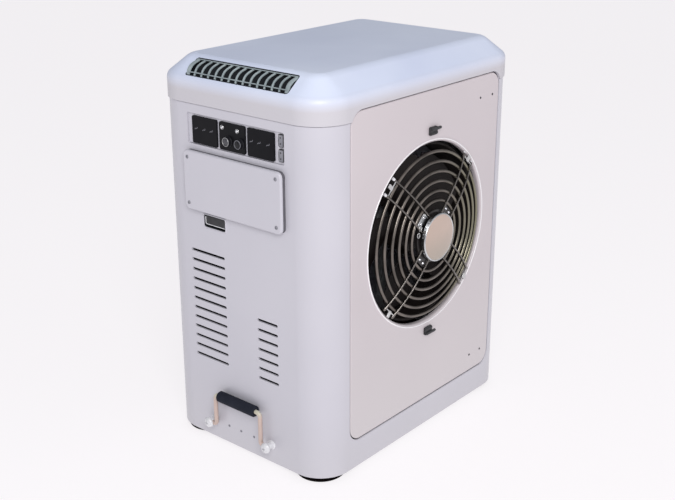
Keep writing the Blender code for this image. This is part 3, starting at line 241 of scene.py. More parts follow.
FOAM = finish("grip_foam_skin", (0.02, 0.022, 0.034), (0.013, 0.015, 0.024), 0.82, 0.06, 60, 1500, 0.35,
              specular=0.15)
RUBBER = finish("foot_rubber", (0.006, 0.005, 0.005), (0.004, 0.003, 0.003), 0.55, 0.08, 40, 800, 0.08,
                specular=0.0)
BOSS_FINISH = finish("boss_coat", (0.74, 0.74, 0.77), (0.64, 0.64, 0.67), 0.26, 0.05, 60, 700, 0.04,
                     coat=0.5)
GREY_PLASTIC = finish("grey_plastic", (0.25, 0.25, 0.28), (0.18, 0.18, 0.21), 0.4, 0.06, 60, 900, 0.06)
BLACK_PLASTIC = finish("black_moulding", (0.04, 0.04, 0.045), (0.026, 0.026, 0.03), 0.48, 0.08, 22, 700,
                       0.12)
STEEL = finish("galvanised_sheet", (0.52, 0.53, 0.54), (0.36, 0.37, 0.38), 0.42, 0.12, 46, 260, 0.05,
               metallic=0.9)
TANK = finish("tank_enamel", (0.022, 0.022, 0.024), (0.014, 0.014, 0.016), 0.36, 0.1, 14, 300, 0.12)
COPPER = finish("copper_pipe", (0.72, 0.36, 0.22), (0.5, 0.24, 0.15), 0.3, 0.12, 26, 400, 0.05,
                metallic=1.0)
FINS = fin_finish("coil_fins")

# ---------------------------------------------------------------- shapes


def skin(shape, loops, join_ends=False, cap_first=False, cap_last=False):
    """Runs faces between successive closed loops of points."""
    rows = [[shape.verts.new(point) for point in loop] for loop in loops]
    pairs = list(zip(rows, rows[1:]))
    if join_ends:
        pairs.append((rows[-1], rows[0]))
    for lower, upper in pairs:
        count = len(lower)
        for i in range(count):
            j = (i + 1) % count
            shape.faces.new((lower[i], lower[j], upper[j], upper[i]))
    if cap_first:
        shape.faces.new(rows[0][::-1])
    if cap_last:
        shape.faces.new(rows[-1])


def turns(count):
    """Even angles round a full turn."""
    return [2 * math.pi * k / count for k in range(count)]


def dome(radius, foot, rise, steps):
    """Radius and height pairs of a domed end, from its side to its top."""
    angles = [math.pi / 2 * k / steps for k in range(1, steps + 1)]
    return [(radius * math.cos(t), foot + rise * math.sin(t)) for t in angles]


def shoulder(radius, foot, rise, first):
    """The pairs of a tank's rounded shoulder, from near its top down to its side."""
    angles = [math.pi / 2 * (1 - k / 9) for k in range(first, 10)]
    return [(radius * math.cos(t), foot + rise * math.sin(t)) for t in angles]


def arc_corner(radius, steps):
    """Inset and depth pairs of a quarter round, from its side to its face."""
    return [(radius * (1 - math.cos(math.pi / 2 * s / steps)),
             radius * (1 - math.sin(math.pi / 2 * s / steps)))
            for s in range(steps + 1)]


def rounded(half_a, half_b, radius, steps=10, side_steps=1):
    """Points round a rectangle with arc corners, anticlockwise in its own plane."""
    radius = max(radius, 0.0002)
    points = []
    corners = ((1, 1, 0), (-1, 1, 90), (-1, -1, 180), (1, -1, 270))
    for sign_a, sign_b, first in corners:
        centre = Vector((sign_a * (half_a - radius), sign_b * (half_b - radius)))
        for step in range(steps + 1):
            angle = math.radians(first + 90 * step / steps)
            points.append(centre + Vector((math.cos(angle), math.sin(angle))) * radius)
    if side_steps > 1:
        dense = []
        for index, point in enumerate(points):
            dense.append(point)
            if index % (steps + 1) == steps:
                after = points[(index + 1) % len(points)]
                dense += [point.lerp(after, k / side_steps) for k in range(1, side_steps)]
        points = dense
    return points


def on_side(points, x, middle_y=0.0, middle_z=0.0):
    """Lays flat points on a plane facing -X."""
    return [Vector((x, middle_y + p.x, middle_z + p.y)) for p in points]


def on_front(points, y, middle_x=0.0, middle_z=0.0):
    """Lays flat points on a plane facing -Y."""
    return [Vector((middle_x + p.x, y, middle_z + p.y)) for p in points]


def pad(shape, place, middle, half_a, half_b, radius, back, face, edge, steps=6):
    """A rounded plate from its back to its face, its front edge rounded. Outwards is the smaller number."""
    outer = rounded(half_a, half_b, radius, steps)
    loops = [place(outer, back, *middle)]
    for inset, depth in arc_corner(edge, 4):
        loop = rounded(half_a - inset, half_b - inset, radius - inset, steps)
        loops.append(place(loop, face + depth, *middle))
    skin(shape, loops, cap_first=True, cap_last=True)


def turn_to(axis):
    return Vector((0, 0, 1)).rotation_difference(Vector(axis)).to_matrix().to_4x4()


def lathe(shape, profile, base, axis=(0, 0, 1), segments=48):
    """Turns (radius, height) points about an axis through base; a closed profile makes a ring."""
    closed = (Vector(profile[0]) - Vector(profile[-1])).length < 1e-6
    points = profile[:-1] if closed else profile
    move = Matrix.Translation(Vector(base)) @ turn_to(axis)
    loops = []
    for radius, height in points:
        loops.append([move @ Vector((radius * math.cos(t), radius * math.sin(t),
                                     height)) for t in turns(segments)])
    fresh = bmesh.new()
    skin(fresh, loops, join_ends=closed)
    bmesh.ops.remove_doubles(fresh, verts=fresh.verts, dist=1e-7)
    merge(shape, fresh)


def merge(shape, other):
    mesh = bpy.data.meshes.new("part")
    other.to_mesh(mesh)
    other.free()
    shape.from_mesh(mesh)
    bpy.data.meshes.remove(mesh)


def smooth_profile(points, radius=0.001, steps=4):
    """Rounds the inner corners of a profile or path."""
    points = [Vector(point) for point in points]
    path = [points[0]]
    for before, corner, after in zip(points, points[1:], points[2:]):
        reach = min(radius, (before - corner).length * 0.45, (after - corner).length * 0.45)
        start = corner + (before - corner).normalized() * reach
        end = corner + (after - corner).normalized() * reach
        for step in range(steps + 1):
            t = step / steps
            path.append(start.lerp(corner, t).lerp(corner.lerp(end, t), t))
    path.append(points[-1])
    return path


def tube(shape, points, radius, sides=12, cyclic=False):
    """A round wire along points. The radius is one number or one for each point."""
    points = [Vector(point) for point in points]
    count = len(points)
    radii = radius if isinstance(radius, (list, tuple)) else [radius] * count
    loops = []
    across = None
    for i, point in enumerate(points):
        before = points[(i - 1) % count] if cyclic or i > 0 else point
        after = points[(i + 1) % count] if cyclic or i < count - 1 else point
        along = (after - before).normalized()
        if across is None:
            across = along.orthogonal().normalized()
        across = (across - along * across.dot(along)).normalized()
        up = along.cross(across)
        loops.append([point + (across * math.cos(t) + up * math.sin(t)) * radii[i] for t in turns(sides)])
    skin(shape, loops, join_ends=cyclic, cap_first=not cyclic, cap_last=not cyclic)


def box(shape, low, high, radius=0.0, along="Z", segments=5):
    low, high = Vector(low), Vector(high)
    size = high - low
    fresh = bmesh.new()
    bmesh.ops.create_cube(fresh, size=1, matrix=Matrix.Translation((low + high) / 2) @
                          Matrix.Diagonal((*size, 1)))
    if radius > 0:
        if along == "ALL":
            edges = list(fresh.edges)
        else:
            axis = "XYZ".index(along)
            edges = [edge for edge in fresh.edges
                     if abs((edge.verts[0].co - edge.verts[1].co)[axis]) > size[axis] / 2]
        bmesh.ops.bevel(fresh, geom=edges, offset=radius, segments=segments, affect="EDGES", profile=0.5)
    merge(shape, fresh)


def rod(shape, start, end, radius, segments=32):
    start, end = Vector(start), Vector(end)
    lathe(shape, [(0, 0), (radius, 0), (radius, (end - start).length), (0, (end - start).length)], start,
          end - start, segments)


def to_object(name, shape, material=None):
    mesh = bpy.data.meshes.new(name)
    bmesh.ops.recalc_face_normals(shape, faces=shape.faces)
    shape.to_mesh(mesh)
    shape.free()
    mesh.transform(Matrix.Translation(HOME))
    item = bpy.data.objects.new(name, mesh)
    bpy.context.scene.collection.objects.link(item)
    if material:
        mesh.materials.append(material)
    return item


def settle(item):
    """Turns an object's modifiers into its mesh."""
    bpy.context.view_layer.update()
    graph = bpy.context.evaluated_depsgraph_get()
    mesh = bpy.data.meshes.new_from_object(item.evaluated_get(graph), preserve_all_data_layers=True,
                                           depsgraph=graph)
    old = item.data
    item.modifiers.clear()
    item.data = mesh
    bpy.data.meshes.remove(old)
    return item


def carve(item, *cutters):
    tools = [to_object("cutter", cutter) for cutter in cutters]
    for tool in tools:
        step = item.modifiers.new("cut", "BOOLEAN")
        step.operation = "DIFFERENCE"
        step.solver = "EXACT"
        step.object = tool
    settle(item)
    for tool in tools:
        mesh = tool.data
        bpy.data.objects.remove(tool)
        bpy.data.meshes.remove(mesh)
    return item


def soften(item, width=0.0006, segments=2, limit=35.0):
    """Rounds the hard edges a little, as folded and moulded edges are."""
    step = item.modifiers.new("soft", "BEVEL")
    step.width = width
    step.segments = segments
    step.limit_method = "ANGLE"
    step.angle_limit = math.radians(limit)
    step.use_clamp_overlap = True
    return settle(item)


def dress(item, body, replaced=(), slot=None, angle=35.0, weighted=True):
    """Smooth shading with crisp edges, then the piece's body and the node it stands for; the slot is not
    used.
    """
    item.data.shade_smooth()
    item.data.set_sharp_from_angle(angle=math.radians(angle))
    if weighted:
        step = item.modifiers.new("shade", "WEIGHTED_NORMAL")
        step.keep_sharp = True
        step.weight = 80
    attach(item, body)
    if replaced:
        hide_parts(*replaced)
    return item


def piece(name, shape, material, body, *how):
    """Makes an object of the shape and dresses it."""
    return dress(to_object(name, shape, material), body, *how)


def guard_proud(radius):
    share = max(0.0, (radius - GUARD_INNER) / (GUARD_OUTER - GUARD_INNER))
    return CROWN_PROUD - (CROWN_PROUD - RIM_PROUD) * share ** CROWN_POWER


def fan_point(radius, angle, proud, sideways=0.0):
    out = Vector((math.cos(angle), 0, math.sin(angle)))
    across = Vector((-math.sin(angle), 0, math.cos(angle)))
    return FAN + Vector((0, -proud, 0)) + out * radius + across * sideways


def screw_head(shape, centre, axis, radius, height):
    """A domed head with a round socket sunk in it."""
    socket = radius * 0.42
    profile = [(0, height * 0.35), (socket, height * 0.35), (socket, height * 0.95),
               (radius * 0.62, height),
               (radius * 0.86, height * 0.72), (radius, height * 0.2), (radius, 0), (0, 0)]
    lathe(shape, profile, centre, axis, 24)


# ---------------------------------------------------------------- cabinet and cap

def cabinet():
    shape = bmesh.new()
    loops = []
    for inset, height in ((0, BODY_BOTTOM), (0, SEAM), (WALL, SEAM), (WALL, BODY_BOTTOM)):
        outline = rounded(HALF_X - inset, HALF_Y - inset, CORNER - inset, 20)
        loops.append([Vector((p.x, p.y, height)) for p in outline])
    skin(shape, loops, join_ends=True)
    shell = to_object("cabinet_shell_visual", shape, PAINT)
    door = bmesh.new()
    box(door, (DOOR_LOW.x - DOOR_GAP, FRONT_Y - 0.02, DOOR_LOW.z - DOOR_GAP),
        (DOOR_HIGH.x + DOOR_GAP, FRONT_Y + 0.03, DOOR_HIGH.z + DOOR_GAP), DOOR_RADIUS + DOOR_GAP, "Y", 12)
    side = bmesh.new()
    low_x, high_x = SIDE_X - 0.01, SIDE_X + 0.01
    box(side, (low_x, -PANEL[2], PANEL[0]), (high_x, PANEL[2], PANEL[1]), 0.004, "X", 5)
    box(side, (low_x, COVER_Y - 0.111, COVER_Z - 0.0395), (high_x, COVER_Y + 0.111, COVER_Z + 0.0395),
        0.006, "X")
    box(side, (low_x, CATCH_Y - CATCH_HALF_Y, CATCH_Z - CATCH_HALF_Z),
        (high_x, CATCH_Y + CATCH_HALF_Y, CATCH_Z + CATCH_HALF_Z), 0.005, "X", 5)
    for (low_y, high_y), first, last in SLOT_COLUMNS:
        for row in range(first, last):
            low_z = SLOT_TOP - row * SLOT_PITCH - SLOT_HEIGHT / 2
            box(side, (low_x, low_y, low_z), (high_x, high_y, low_z + SLOT_HEIGHT), SLOT_HEIGHT * 0.48,
                "X", 5)
    far = bmesh.new()
    for node, radius in (("water_inlet", 0.0215), ("water_outlet", 0.0215), ("cable_gland", 0.0086)):
        low, high = node_box(node)
        middle = (low + high) / 2
        rod(far, (HALF_X - 0.02, middle.y, middle.z), (HALF_X + 0.02, middle.y, middle.z), radius, 40)
    low, high = node_box("rear_grille")
    box(far, (low.x, HALF_Y - 0.02, low.z), (high.x, HALF_Y + 0.02, high.z), 0.0197, "Y", 8)
    carve(shell, door, side, far)
    soften(shell, 0.0007)
    dress(shell, "cabinet", ["cabinet_shell"], "cabinet_white")


def seam_strip():
    """A pale edge set in the gap round the door, narrow enough for the door to swing past it."""
    half = ((DOOR_HIGH.x - DOOR_LOW.x) / 2, (DOOR_HIGH.z - DOOR_LOW.z) / 2)
    centre = ((DOOR_HIGH.x + DOOR_LOW.x) / 2, (DOOR_HIGH.z + DOOR_LOW.z) / 2)
    loops = []
    for out, depth in ((0.0022, 0.0012), (0.0033, 0.0012), (0.0033, 0.003), (0.0022, 0.003)):
        outline = rounded(half[0] + out, half[1] + out, DOOR_RADIUS + out, 16)
        loops.append(on_front(outline, FRONT_Y + depth, *centre))
    shape = bmesh.new()
    skin(shape, loops, join_ends=True)
    piece("door_seam_strip", shape, PAINT, "cabinet", [], "cabinet_white")


def slope():
    """Takes X up the cap's slope, Y along it and Z out from it."""
    foot = Matrix.Translation((SIDE_X - CAP_OVERHANG, 0, CAP_SHOULDER))
    return foot @ Matrix.Rotation(-BEVEL_ANGLE, 4, "Y")


def bevel_space(point_up, along, out):
    return slope() @ Vector((point_up, along, out))


def cap():
    def blend(start, corner, end, steps=8):
        start, corner, end = Vector(start), Vector(corner), Vector(end)
        return [start.lerp(corner, s / steps).lerp(corner.lerp(end, s / steps), s / steps)
                for s in range(steps + 1)]

    outer = [Vector((-CAP_OVERHANG, CAP_FOOT))]
    outer += blend((-CAP_OVERHANG, 0.829), (-CAP_OVERHANG, CAP_SHOULDER), (0.0038, 0.84335))
    outer += blend((0.039, 0.87128), (0.048, 0.87841), (0.059, TOTAL), 8)
    inner = [Vector((point.x + WALL, max(CAP_FOOT, point.y - WALL * 0.9))) for point in outer]
    inner[0] = Vector((WALL - CAP_OVERHANG, CAP_FOOT))
    shape = bmesh.new()

    def ring(point):
        outline = rounded(HALF_X - point.x, HALF_Y - point.x, CORNER - point.x, 20)
        return [Vector((p.x, p.y, point.y)) for p in outline]

    skin(shape, [ring(point) for point in inner[::-1]] + [ring(point) for point in outer], cap_first=True,
         cap_last=True)
    lid = to_object("cap_visual", shape, CAP_PAINT_AND_SKY_REFLECTION)
    notch = bmesh.new()
    box(notch, (DOOR_LOW.x - DOOR_GAP, FRONT_Y - 0.02, SEAM - 0.08),
        (DOOR_HIGH.x + DOOR_GAP, FRONT_Y + 0.012, DOOR_HIGH.z + DOOR_GAP), DOOR_RADIUS + DOOR_GAP, "Y", 12)
    pocket = bmesh.new()
    box(pocket, (GRILLE_FOOT, -GRILLE_LENGTH / 2, -0.03), (GRILLE_FOOT + GRILLE_HEIGHT, GRILLE_LENGTH / 2,
                                                           0.03),
        0.006, "Z", 5)
    pocket.transform(slope())
    carve(lid, notch, pocket)
    soften(lid, 0.0009, 3)
    dress(lid, "cabinet", ["cap"], "cabinet_white")


def cap_grille():
    """Arched upright ribs over a dark tray, with a sill bar across their feet."""
    tray = bmesh.new()
    low, high, half = GRILLE_FOOT + 0.0004, GRILLE_FOOT + GRILLE_HEIGHT - 0.0004, GRILLE_LENGTH / 2 - 0.0004
    outer = rounded((high - low) / 2, half, 0.0056, 5)
    inner = rounded((high - low) / 2 - 0.0016, half - 0.0016, 0.0042, 5)
    middle = (low + high) / 2

    def level(points, out):
        return [bevel_space(middle + p.x, p.y, out) for p in points]

    skin(tray, [level(outer, -0.0078), level(outer, -0.0008), level(inner, -0.0004), level(inner, -0.007)],
         cap_first=True, cap_last=True)
    tray = to_object("grille_tray", tray, BLACK_AND_PAINTED_SHADE)
    dress(tray, "cabinet", ["cap_grille"], "black_plastic")
    ribs = bmesh.new()
    pitch = (GRILLE_LENGTH - 0.012) / GRILLE_SLOTS
    steps = 10
    for rib in range(GRILLE_SLOTS + 1):
        along = rib * pitch - GRILLE_SLOTS * pitch / 2
        thick = pitch * (0.115 if 0 < rib < GRILLE_SLOTS else 0.26)
        loops = []
        for step in range(steps + 1):
            share = step / steps
            up = low + 0.0025 + (high - low - 0.005) * share
            arch = 0.0042 * math.sin(math.pi * min(1.0, share * 1.04)) - 0.0014
            lean = 0.0042 * math.sin(math.pi * share)
            profile = ((-1, arch - 0.0034), (-1, arch - 0.001), (-0.5, arch), (0.5, arch),
                       (1, arch - 0.001),
                       (1, arch - 0.0034))
            loops.append([bevel_space(up, along + side * thick + lean, out) for side, out in profile])
        skin(ribs, loops, cap_first=True, cap_last=True)
    for where, out, size in ((low + 0.0085, 0.0012, 0.0012), (high - 0.004, -0.0006, 0.0011)):
        tube(ribs, [bevel_space(where, -half + 0.003, out), bevel_space(where, half - 0.003, out)], size,
             10)
    dress(soften(to_object("grille_ribs", ribs, RIB), 0.0003, 1, 50), "cabinet", ["cap_grille"],
          "zinc_steel")


# ---------------------------------------------------------------- fan door

def fan_door():
    half = Vector(((DOOR_HIGH.x - DOOR_LOW.x) / 2, (DOOR_HIGH.z - DOOR_LOW.z) / 2))
    centre = ((DOOR_HIGH.x + DOOR_LOW.x) / 2, (DOOR_HIGH.z + DOOR_LOW.z) / 2)
    steps, side_steps = 10, 24
    base = rounded(half.x, half.y, DOOR_RADIUS, steps, side_steps)
    angles = [math.atan2(centre[1] + p.y - FAN.z, centre[0] + p.x - FAN.x) for p in base]

    def rect(inset, depth):
        return on_front(rounded(half.x - inset, half.y - inset, DOOR_RADIUS - inset, steps, side_steps),
                        FRONT_Y + depth, *centre)

    def circle(radius, depth):
        return [Vector((FAN.x + radius * math.cos(a), FRONT_Y + depth, FAN.z + radius * math.sin(a)))
                for a in angles]

    edge = 0.0028
    loops = [rect(0.003, 0.013), rect(0, 0.013)]
    loops += [rect(inset, depth) for inset, depth in arc_corner(edge, 5)]
    loops += [rect(0.0045, 0)]
    lip = [(0.2185, 0), (0.2165, 0), (0.2152, -0.0003), (0.2138, -0.0008), (0.212, -0.001),
           (0.2102, -0.0007),
           (0.2087, 0.0002), (0.2075, 0.0015), (0.2068, 0.0032), (0.2065, 0.0055), (0.2065, 0.011),
           (0.2092, 0.011), (0.2092, 0.006), (0.211, 0.0034), (0.215, 0.0031), (0.2185, 0.003)]
    loops += [circle(radius, depth) for radius, depth in lip]
    loops += [rect(0.0045, 0.003)]
    shape = bmesh.new()
    skin(shape, loops, join_ends=True)
    # A white ring on the lip of the opening, brighter than the door: a painted highlight on the rolled lip.
    highlight_ring = bmesh.new()
    tube(highlight_ring, [fan_point(0.2122, t, 0.0004) for t in turns(160)], 0.0017, 12, cyclic=True)
    piece("opening_painted_highlight", highlight_ring, LIP_PAINTED_HIGHLIGHT, "door", [], "cabinet_white", 60, False)
    door = to_object("door_panel", shape, DOOR_PAINT_AND_WARM_LIGHT)
    notches = bmesh.new()
    for name in ("hinge_leaf_bottom", "hinge_leaf_top"):
        height = node_span(name)[2][2]
        box(notches, (DOOR_HIGH.x - 0.012, FRONT_Y + 0.0029, height - 0.019),
            (DOOR_HIGH.x + 0.01, FRONT_Y + 0.03, height + 0.019))
    carve(door, notches)
    dress(door, "door", ["fan_door"], "cabinet_white", 50)


def door_screws():
    """Small fixings through the door where the hinge leaves are held."""
    shape = bmesh.new()
    for x, z in ((0.1973, 0.7564), (0.2455, 0.7563), (0.1941, 0.1223), (0.2387, 0.1222)):
        screw_head(shape, (x, FRONT_Y - 0.0001, z), (0, -1, 0), 0.0027, 0.0009)
    piece("door_hinge_screws", shape, BLACK_PLASTIC, "door", [], "zinc_steel")


def guard():
    rings = bmesh.new()
    for number in range(GUARD_RINGS):
        radius = GUARD_OUTER - number * GUARD_PITCH
        points = [fan_point(radius, t, guard_proud(radius)) for t in turns(120)]
        tube(rings, points, WIRE, 12, cyclic=True)
    piece("guard_rings", rings, WIRE_FINISH, "door", ["fan_guard"], "bright_wire", 60, False)
    spokes = bmesh.new()
    for corner in range(4):
        angle = math.radians(45 + 90 * corner)
        for side in (-1, 1):
            points = []
            for step in range(23):
                radius = 0.048 + (GUARD_OUTER - 0.048) * step / 22
                points.append(fan_point(radius, angle, guard_proud(radius) + SPOKE_STEP, side * SPOKE_SIDE))
            for radius, proud in ((0.19, 0.0052), (0.1945, 0.004), (0.199, 0.0026), (0.203, 0.0014)):
                points.append(fan_point(radius, angle, proud, side * SPOKE_SIDE))
            radii = [SPOKE_WIRE] * 22 + [0.0024, 0.0028, 0.0034, 0.0036, 0.0026]
            tube(spokes, points, radii, 12)
    piece("guard_spokes", spokes, SPOKE_FINISH, "door", ["fan_guard"], "bright_wire", 60, False)
    # Thicker sleeves on the two upper spokes' ends; their white is a painted highlight where the wire ends
    # catch the light.
    sleeves = bmesh.new()
    for corner, start, thick in ((0, 0.184, 0.0028), (1, 0.172, 0.0034)):
        angle = math.radians(45 + 90 * corner)
        for side in (-1, 1):
            stations = ((start, guard_proud(start) + SPOKE_STEP - 0.0002), (0.188, 0.0058), (0.196, 0.0036),
                        (0.205, 0.001))
            path = [fan_point(radius, angle, proud, side * SPOKE_SIDE) for radius, proud in stations]
            route = smooth_profile(path, 0.004, 5)
            radii = [thick * (0.55 + 0.45 * step / (len(route) - 1)) for step in range(len(route))]
            tube(sleeves, route, radii, 14)
    piece("spoke_sleeves_painted_highlight", sleeves, BOSS_FINISH, "door", ["fan_guard"], "bright_wire", 60, False)
    clips = bmesh.new()
    for corner in range(4):
        angle = math.radians(45 + 90 * corner)
        clip = bmesh.new()
        box(clip, (0.193, -0.006, -0.005), (0.2085, -0.0022, 0.005), 0.0012, "ALL", 3)
        clip.transform(Matrix.Translation(FAN) @ Matrix.Rotation(-angle, 4, "Y"))
        merge(clips, clip)
        tube(clips, [fan_point(0.196, angle, 0.005, -SPOKE_SIDE),
                     fan_point(0.196, angle, 0.005, SPOKE_SIDE)],
             0.0014, 10)
    piece("guard_clips", clips, ZINC, "door", ["fan_guard"], "bright_wire")


def hub():
    face = FRONT_Y - PLATE_PROUD
    plate = bmesh.new()
    lathe(plate, smooth_profile([(0, 0.0), (0.0595, 0.0), (0.0595, 0.0052), (0.054, 0.006), (0.042, 0.006),
                                 (0.042, 0.0092), (0, 0.0092)], 0.001, 3),
          (FAN.x, face + 0.006, FAN.z), (0, -1, 0), 72)
    piece("hub_plate", plate, HUB_DARK, "door", ["guard_hub_plate"], "black_plastic")
    for corner in range(4):
        angle = math.radians(45 + 90 * corner)
        arm = bmesh.new()
        box(arm, (0.044, -PLATE_PROUD - 0.0003, -0.0168), (0.0724, -PLATE_PROUD + 0.0027, 0.0168), 0.004,
            "Y", 4)
        for side in (-1, 1):
            box(arm, (0.05, -PLATE_PROUD - 0.0018, side * 0.015 - 0.0012),
                (0.0715, -PLATE_PROUD + 0.001, side * 0.015 + 0.0012), 0.0005, "ALL", 2)
        arm.transform(Matrix.Translation(FAN) @ Matrix.Rotation(-angle, 4, "Y"))
        # Only the upper-left arm is silver and the other three are dark: a painted highlight on one of four
        # like arms.
        painted_highlight_arm = corner == 1
        item = to_object("hub_arm_%d" % (corner + 1), arm, SILVER if painted_highlight_arm else HUB_DARK)
        dress(soften(item, 0.0003, 1, 50), "door", ["guard_hub_plate"],
              "zinc_steel" if painted_highlight_arm else "black_plastic")
        screws = bmesh.new()
        for side in (-1, 1):
            centre = fan_point(0.0655, angle, PLATE_PROUD + 0.0002, side * 0.0082)
            screw_head(screws, centre, (0, -1, 0), 0.0034, 0.0022)
        piece("hub_screws_%d" % (corner + 1), screws, CHROME, "door", ["guard_hub_plate"], "zinc_steel")
    loops = bmesh.new()
    for angle in (math.radians(164), math.radians(150)):
        ring = [fan_point(0.0635, angle, PLATE_PROUD + 0.0022)
                + Vector((0.0042 * math.cos(t), -0.0006, 0.0056 * math.sin(t))) for t in turns(20)]
        tube(loops, ring, 0.0011, 8, cyclic=True)
    piece("hub_wire_clips", loops, ZINC, "door", ["guard_hub_plate"], "zinc_steel", 60, False)


def badge():
    rise = BADGE_FACE - BADGE_FOOT
    base = (FAN.x, FRONT_Y - BADGE_FOOT, FAN.z)
    rim = bmesh.new()
    profile = [(0, 0), (0.0525, 0), (0.054, 0.0006), (BADGE_RADIUS, 0.002), (BADGE_RADIUS, rise - 0.0042),
               (0.0538, rise - 0.0028), (0.0524, rise - 0.0022), (0.051, rise - 0.0026),
               (0.05, rise - 0.004),
               (0, rise - 0.004)]
    lathe(rim, smooth_profile(profile, 0.0006, 3), base, (0, -1, 0), 96)
    piece("badge_rim", rim, SILVER, "door", ["hub_badge"], "zinc_steel")
    face = bmesh.new()
    profile = [(0, rise - 0.005), (0.0508, rise - 0.005), (0.0513, rise - 0.003)]
    lathe(face, profile + dome(0.0513, rise - 0.003, 0.003, 14), base, (0, -1, 0), 96)
    piece("badge_face", face, BADGE, "door", ["hub_badge"], "badge_beige", 50)


def latch(side, name):
    low, high, (x, _, z) = node_span("latch_block_" + name)
    block = bmesh.new()
    middle = (x, z)
    pad(block, on_front, middle, (high.x - low.x) / 2, (high.z - low.z) / 2, 0.0025, high.y, low.y, 0.0012)
    box(block, (middle[0] - 0.012, low.y - 0.0012, middle[1] - side * 0.005 - 0.0018),
        (middle[0] + 0.0125, low.y + 0.001, middle[1] - side * 0.005 + 0.0018), 0.0006, "ALL", 2)
    piece("latch_body_" + name, block, LATCH_FINISH, "door", ["latch_block_" + name], "black_plastic")
    low, high, (x, _, z) = node_span("guard_latch_" + name)
    lever = bmesh.new()
    middle = (x, z)
    pad(lever, on_front, middle, (high.x - low.x) / 2, (high.z - low.z) / 2, 0.0029, high.y, low.y + 0.0008,
        0.001)
    pivot = Vector((low.x + 0.004, low.y + 0.001, middle[1]))
    screw_head(lever, pivot, (0, -1, 0), 0.0026, 0.001)
    piece("latch_lever_" + name, lever, LATCH_FINISH, "latch_" + name, ["guard_latch_" + name],
          "black_plastic")


# ---------------------------------------------------------------- fan

def rotor():
    shape = bmesh.new()
    spans, chords = 9, 9
    for number in range(BLADES):
        start = 2 * math.pi * number / BLADES + 0.5
        sheets = []
        for side in (-0.0012, 0.0012):
            sheet = []
            for i in range(spans):
                span = i / (spans - 1)
                radius = ROTOR_HUB - 0.004 + (ROTOR_RADIUS - ROTOR_HUB + 0.004) * span
                half = 0.36 + 0.16 * math.sin(math.pi * (0.15 + 0.7 * span))
                row = []
                for j in range(chords):
                    chord = 2 * j / (chords - 1) - 1
                    reach = radius - 0.01 * span * abs(chord) ** 3
                    turn = start + half * chord + 0.22 * span
                    lift = (0.026 - 0.01 * span) * chord + 0.004 * (1 - chord * chord) + side
                    row.append(shape.verts.new((FAN.x + reach * math.cos(turn), ROTOR_Y + lift,
                                                FAN.z + reach * math.sin(turn))))
                sheet.append(row)
            sheets.append(sheet)
        for sheet in sheets:
            for i in range(spans - 1):
                for j in range(chords - 1):
                    shape.faces.new((sheet[i][j], sheet[i][j + 1], sheet[i + 1][j + 1], sheet[i + 1][j]))

        def border(sheet):
            return (sheet[0] + [row[-1] for row in sheet[1:]] + sheet[-1][-2::-1]
                    + [row[0] for row in sheet[-2:0:-1]])

        front, back = border(sheets[0]), border(sheets[1])
        for i in range(len(front)):
            j = (i + 1) % len(front)
            shape.faces.new((front[i], front[j], back[j], back[i]))
    hub_profile = [(0, 0.0005), (ROTOR_HUB - 0.001, 0.0005), (ROTOR_HUB, 0.0016), (ROTOR_HUB, 0.036),
                   (ROTOR_HUB - 0.006, 0.0435), (ROTOR_HUB - 0.016, 0.0475), (0.018, 0.0485),
                   (0.014, 0.0465),
                   (0, 0.0465)]
    lathe(shape, hub_profile, (FAN.x, FRONT_Y + 0.08, FAN.z), (0, -1, 0), 48)
    piece("fan_rotor_visual", shape, FAN_FINISH, "fan", ["fan_rotor"], "fan_black", 45)


def shroud():
    depth = BULKHEAD_Y - 0.0003 - SHROUD_FRONT
    inner, outer = SHROUD_RADIUS, SHROUD_RADIUS + 0.0025
    profile = [(inner, depth - 0.002), (inner + 0.0015, depth + 0.0006), (inner + 0.004, depth + 0.0018),
               (outer + 0.004, depth + 0.001), (outer + 0.005, depth - 0.001),
               (outer + 0.001, depth - 0.003),
               (outer, depth - 0.006), (outer, 0.003), (outer + 0.016, 0.0025), (outer + 0.016, 0),
               (inner, 0), (inner, depth - 0.002)]
    shape = bmesh.new()
    lathe(shape, profile, (FAN.x, BULKHEAD_Y - 0.0003, FAN.z), (0, -1, 0), 96)
    piece("fan_shroud_visual", shape, SHROUD_FINISH, "cabinet", ["fan_shroud"], "fan_black", 40)


def motor():
    shape = bmesh.new()
    front = FRONT_Y + 0.0803
    profile = [(0, 0), (0.011, 0), (0.012, -0.001), (0.012, -0.011), (0.02, -0.012), (0.046, -0.014),
               (0.052, -0.018), (0.0525, -0.024)]
    for fin in range(8):
        at = -0.026 - fin * 0.0062
        profile += [(0.054, at), (0.054, at - 0.002), (0.0495, at - 0.0026), (0.0495, at - 0.0052)]
    profile += [(0.053, -0.078), (0.05, -0.085), (0.046, -0.088), (0, -0.088)]
    lathe(shape, profile, (FAN.x, front, FAN.z), (0, -1, 0), 56)
    piece("fan_motor_visual", shape, STEEL, "cabinet", ["fan_motor"], "zinc_steel", 40)


# ---------------------------------------------------------------- control side

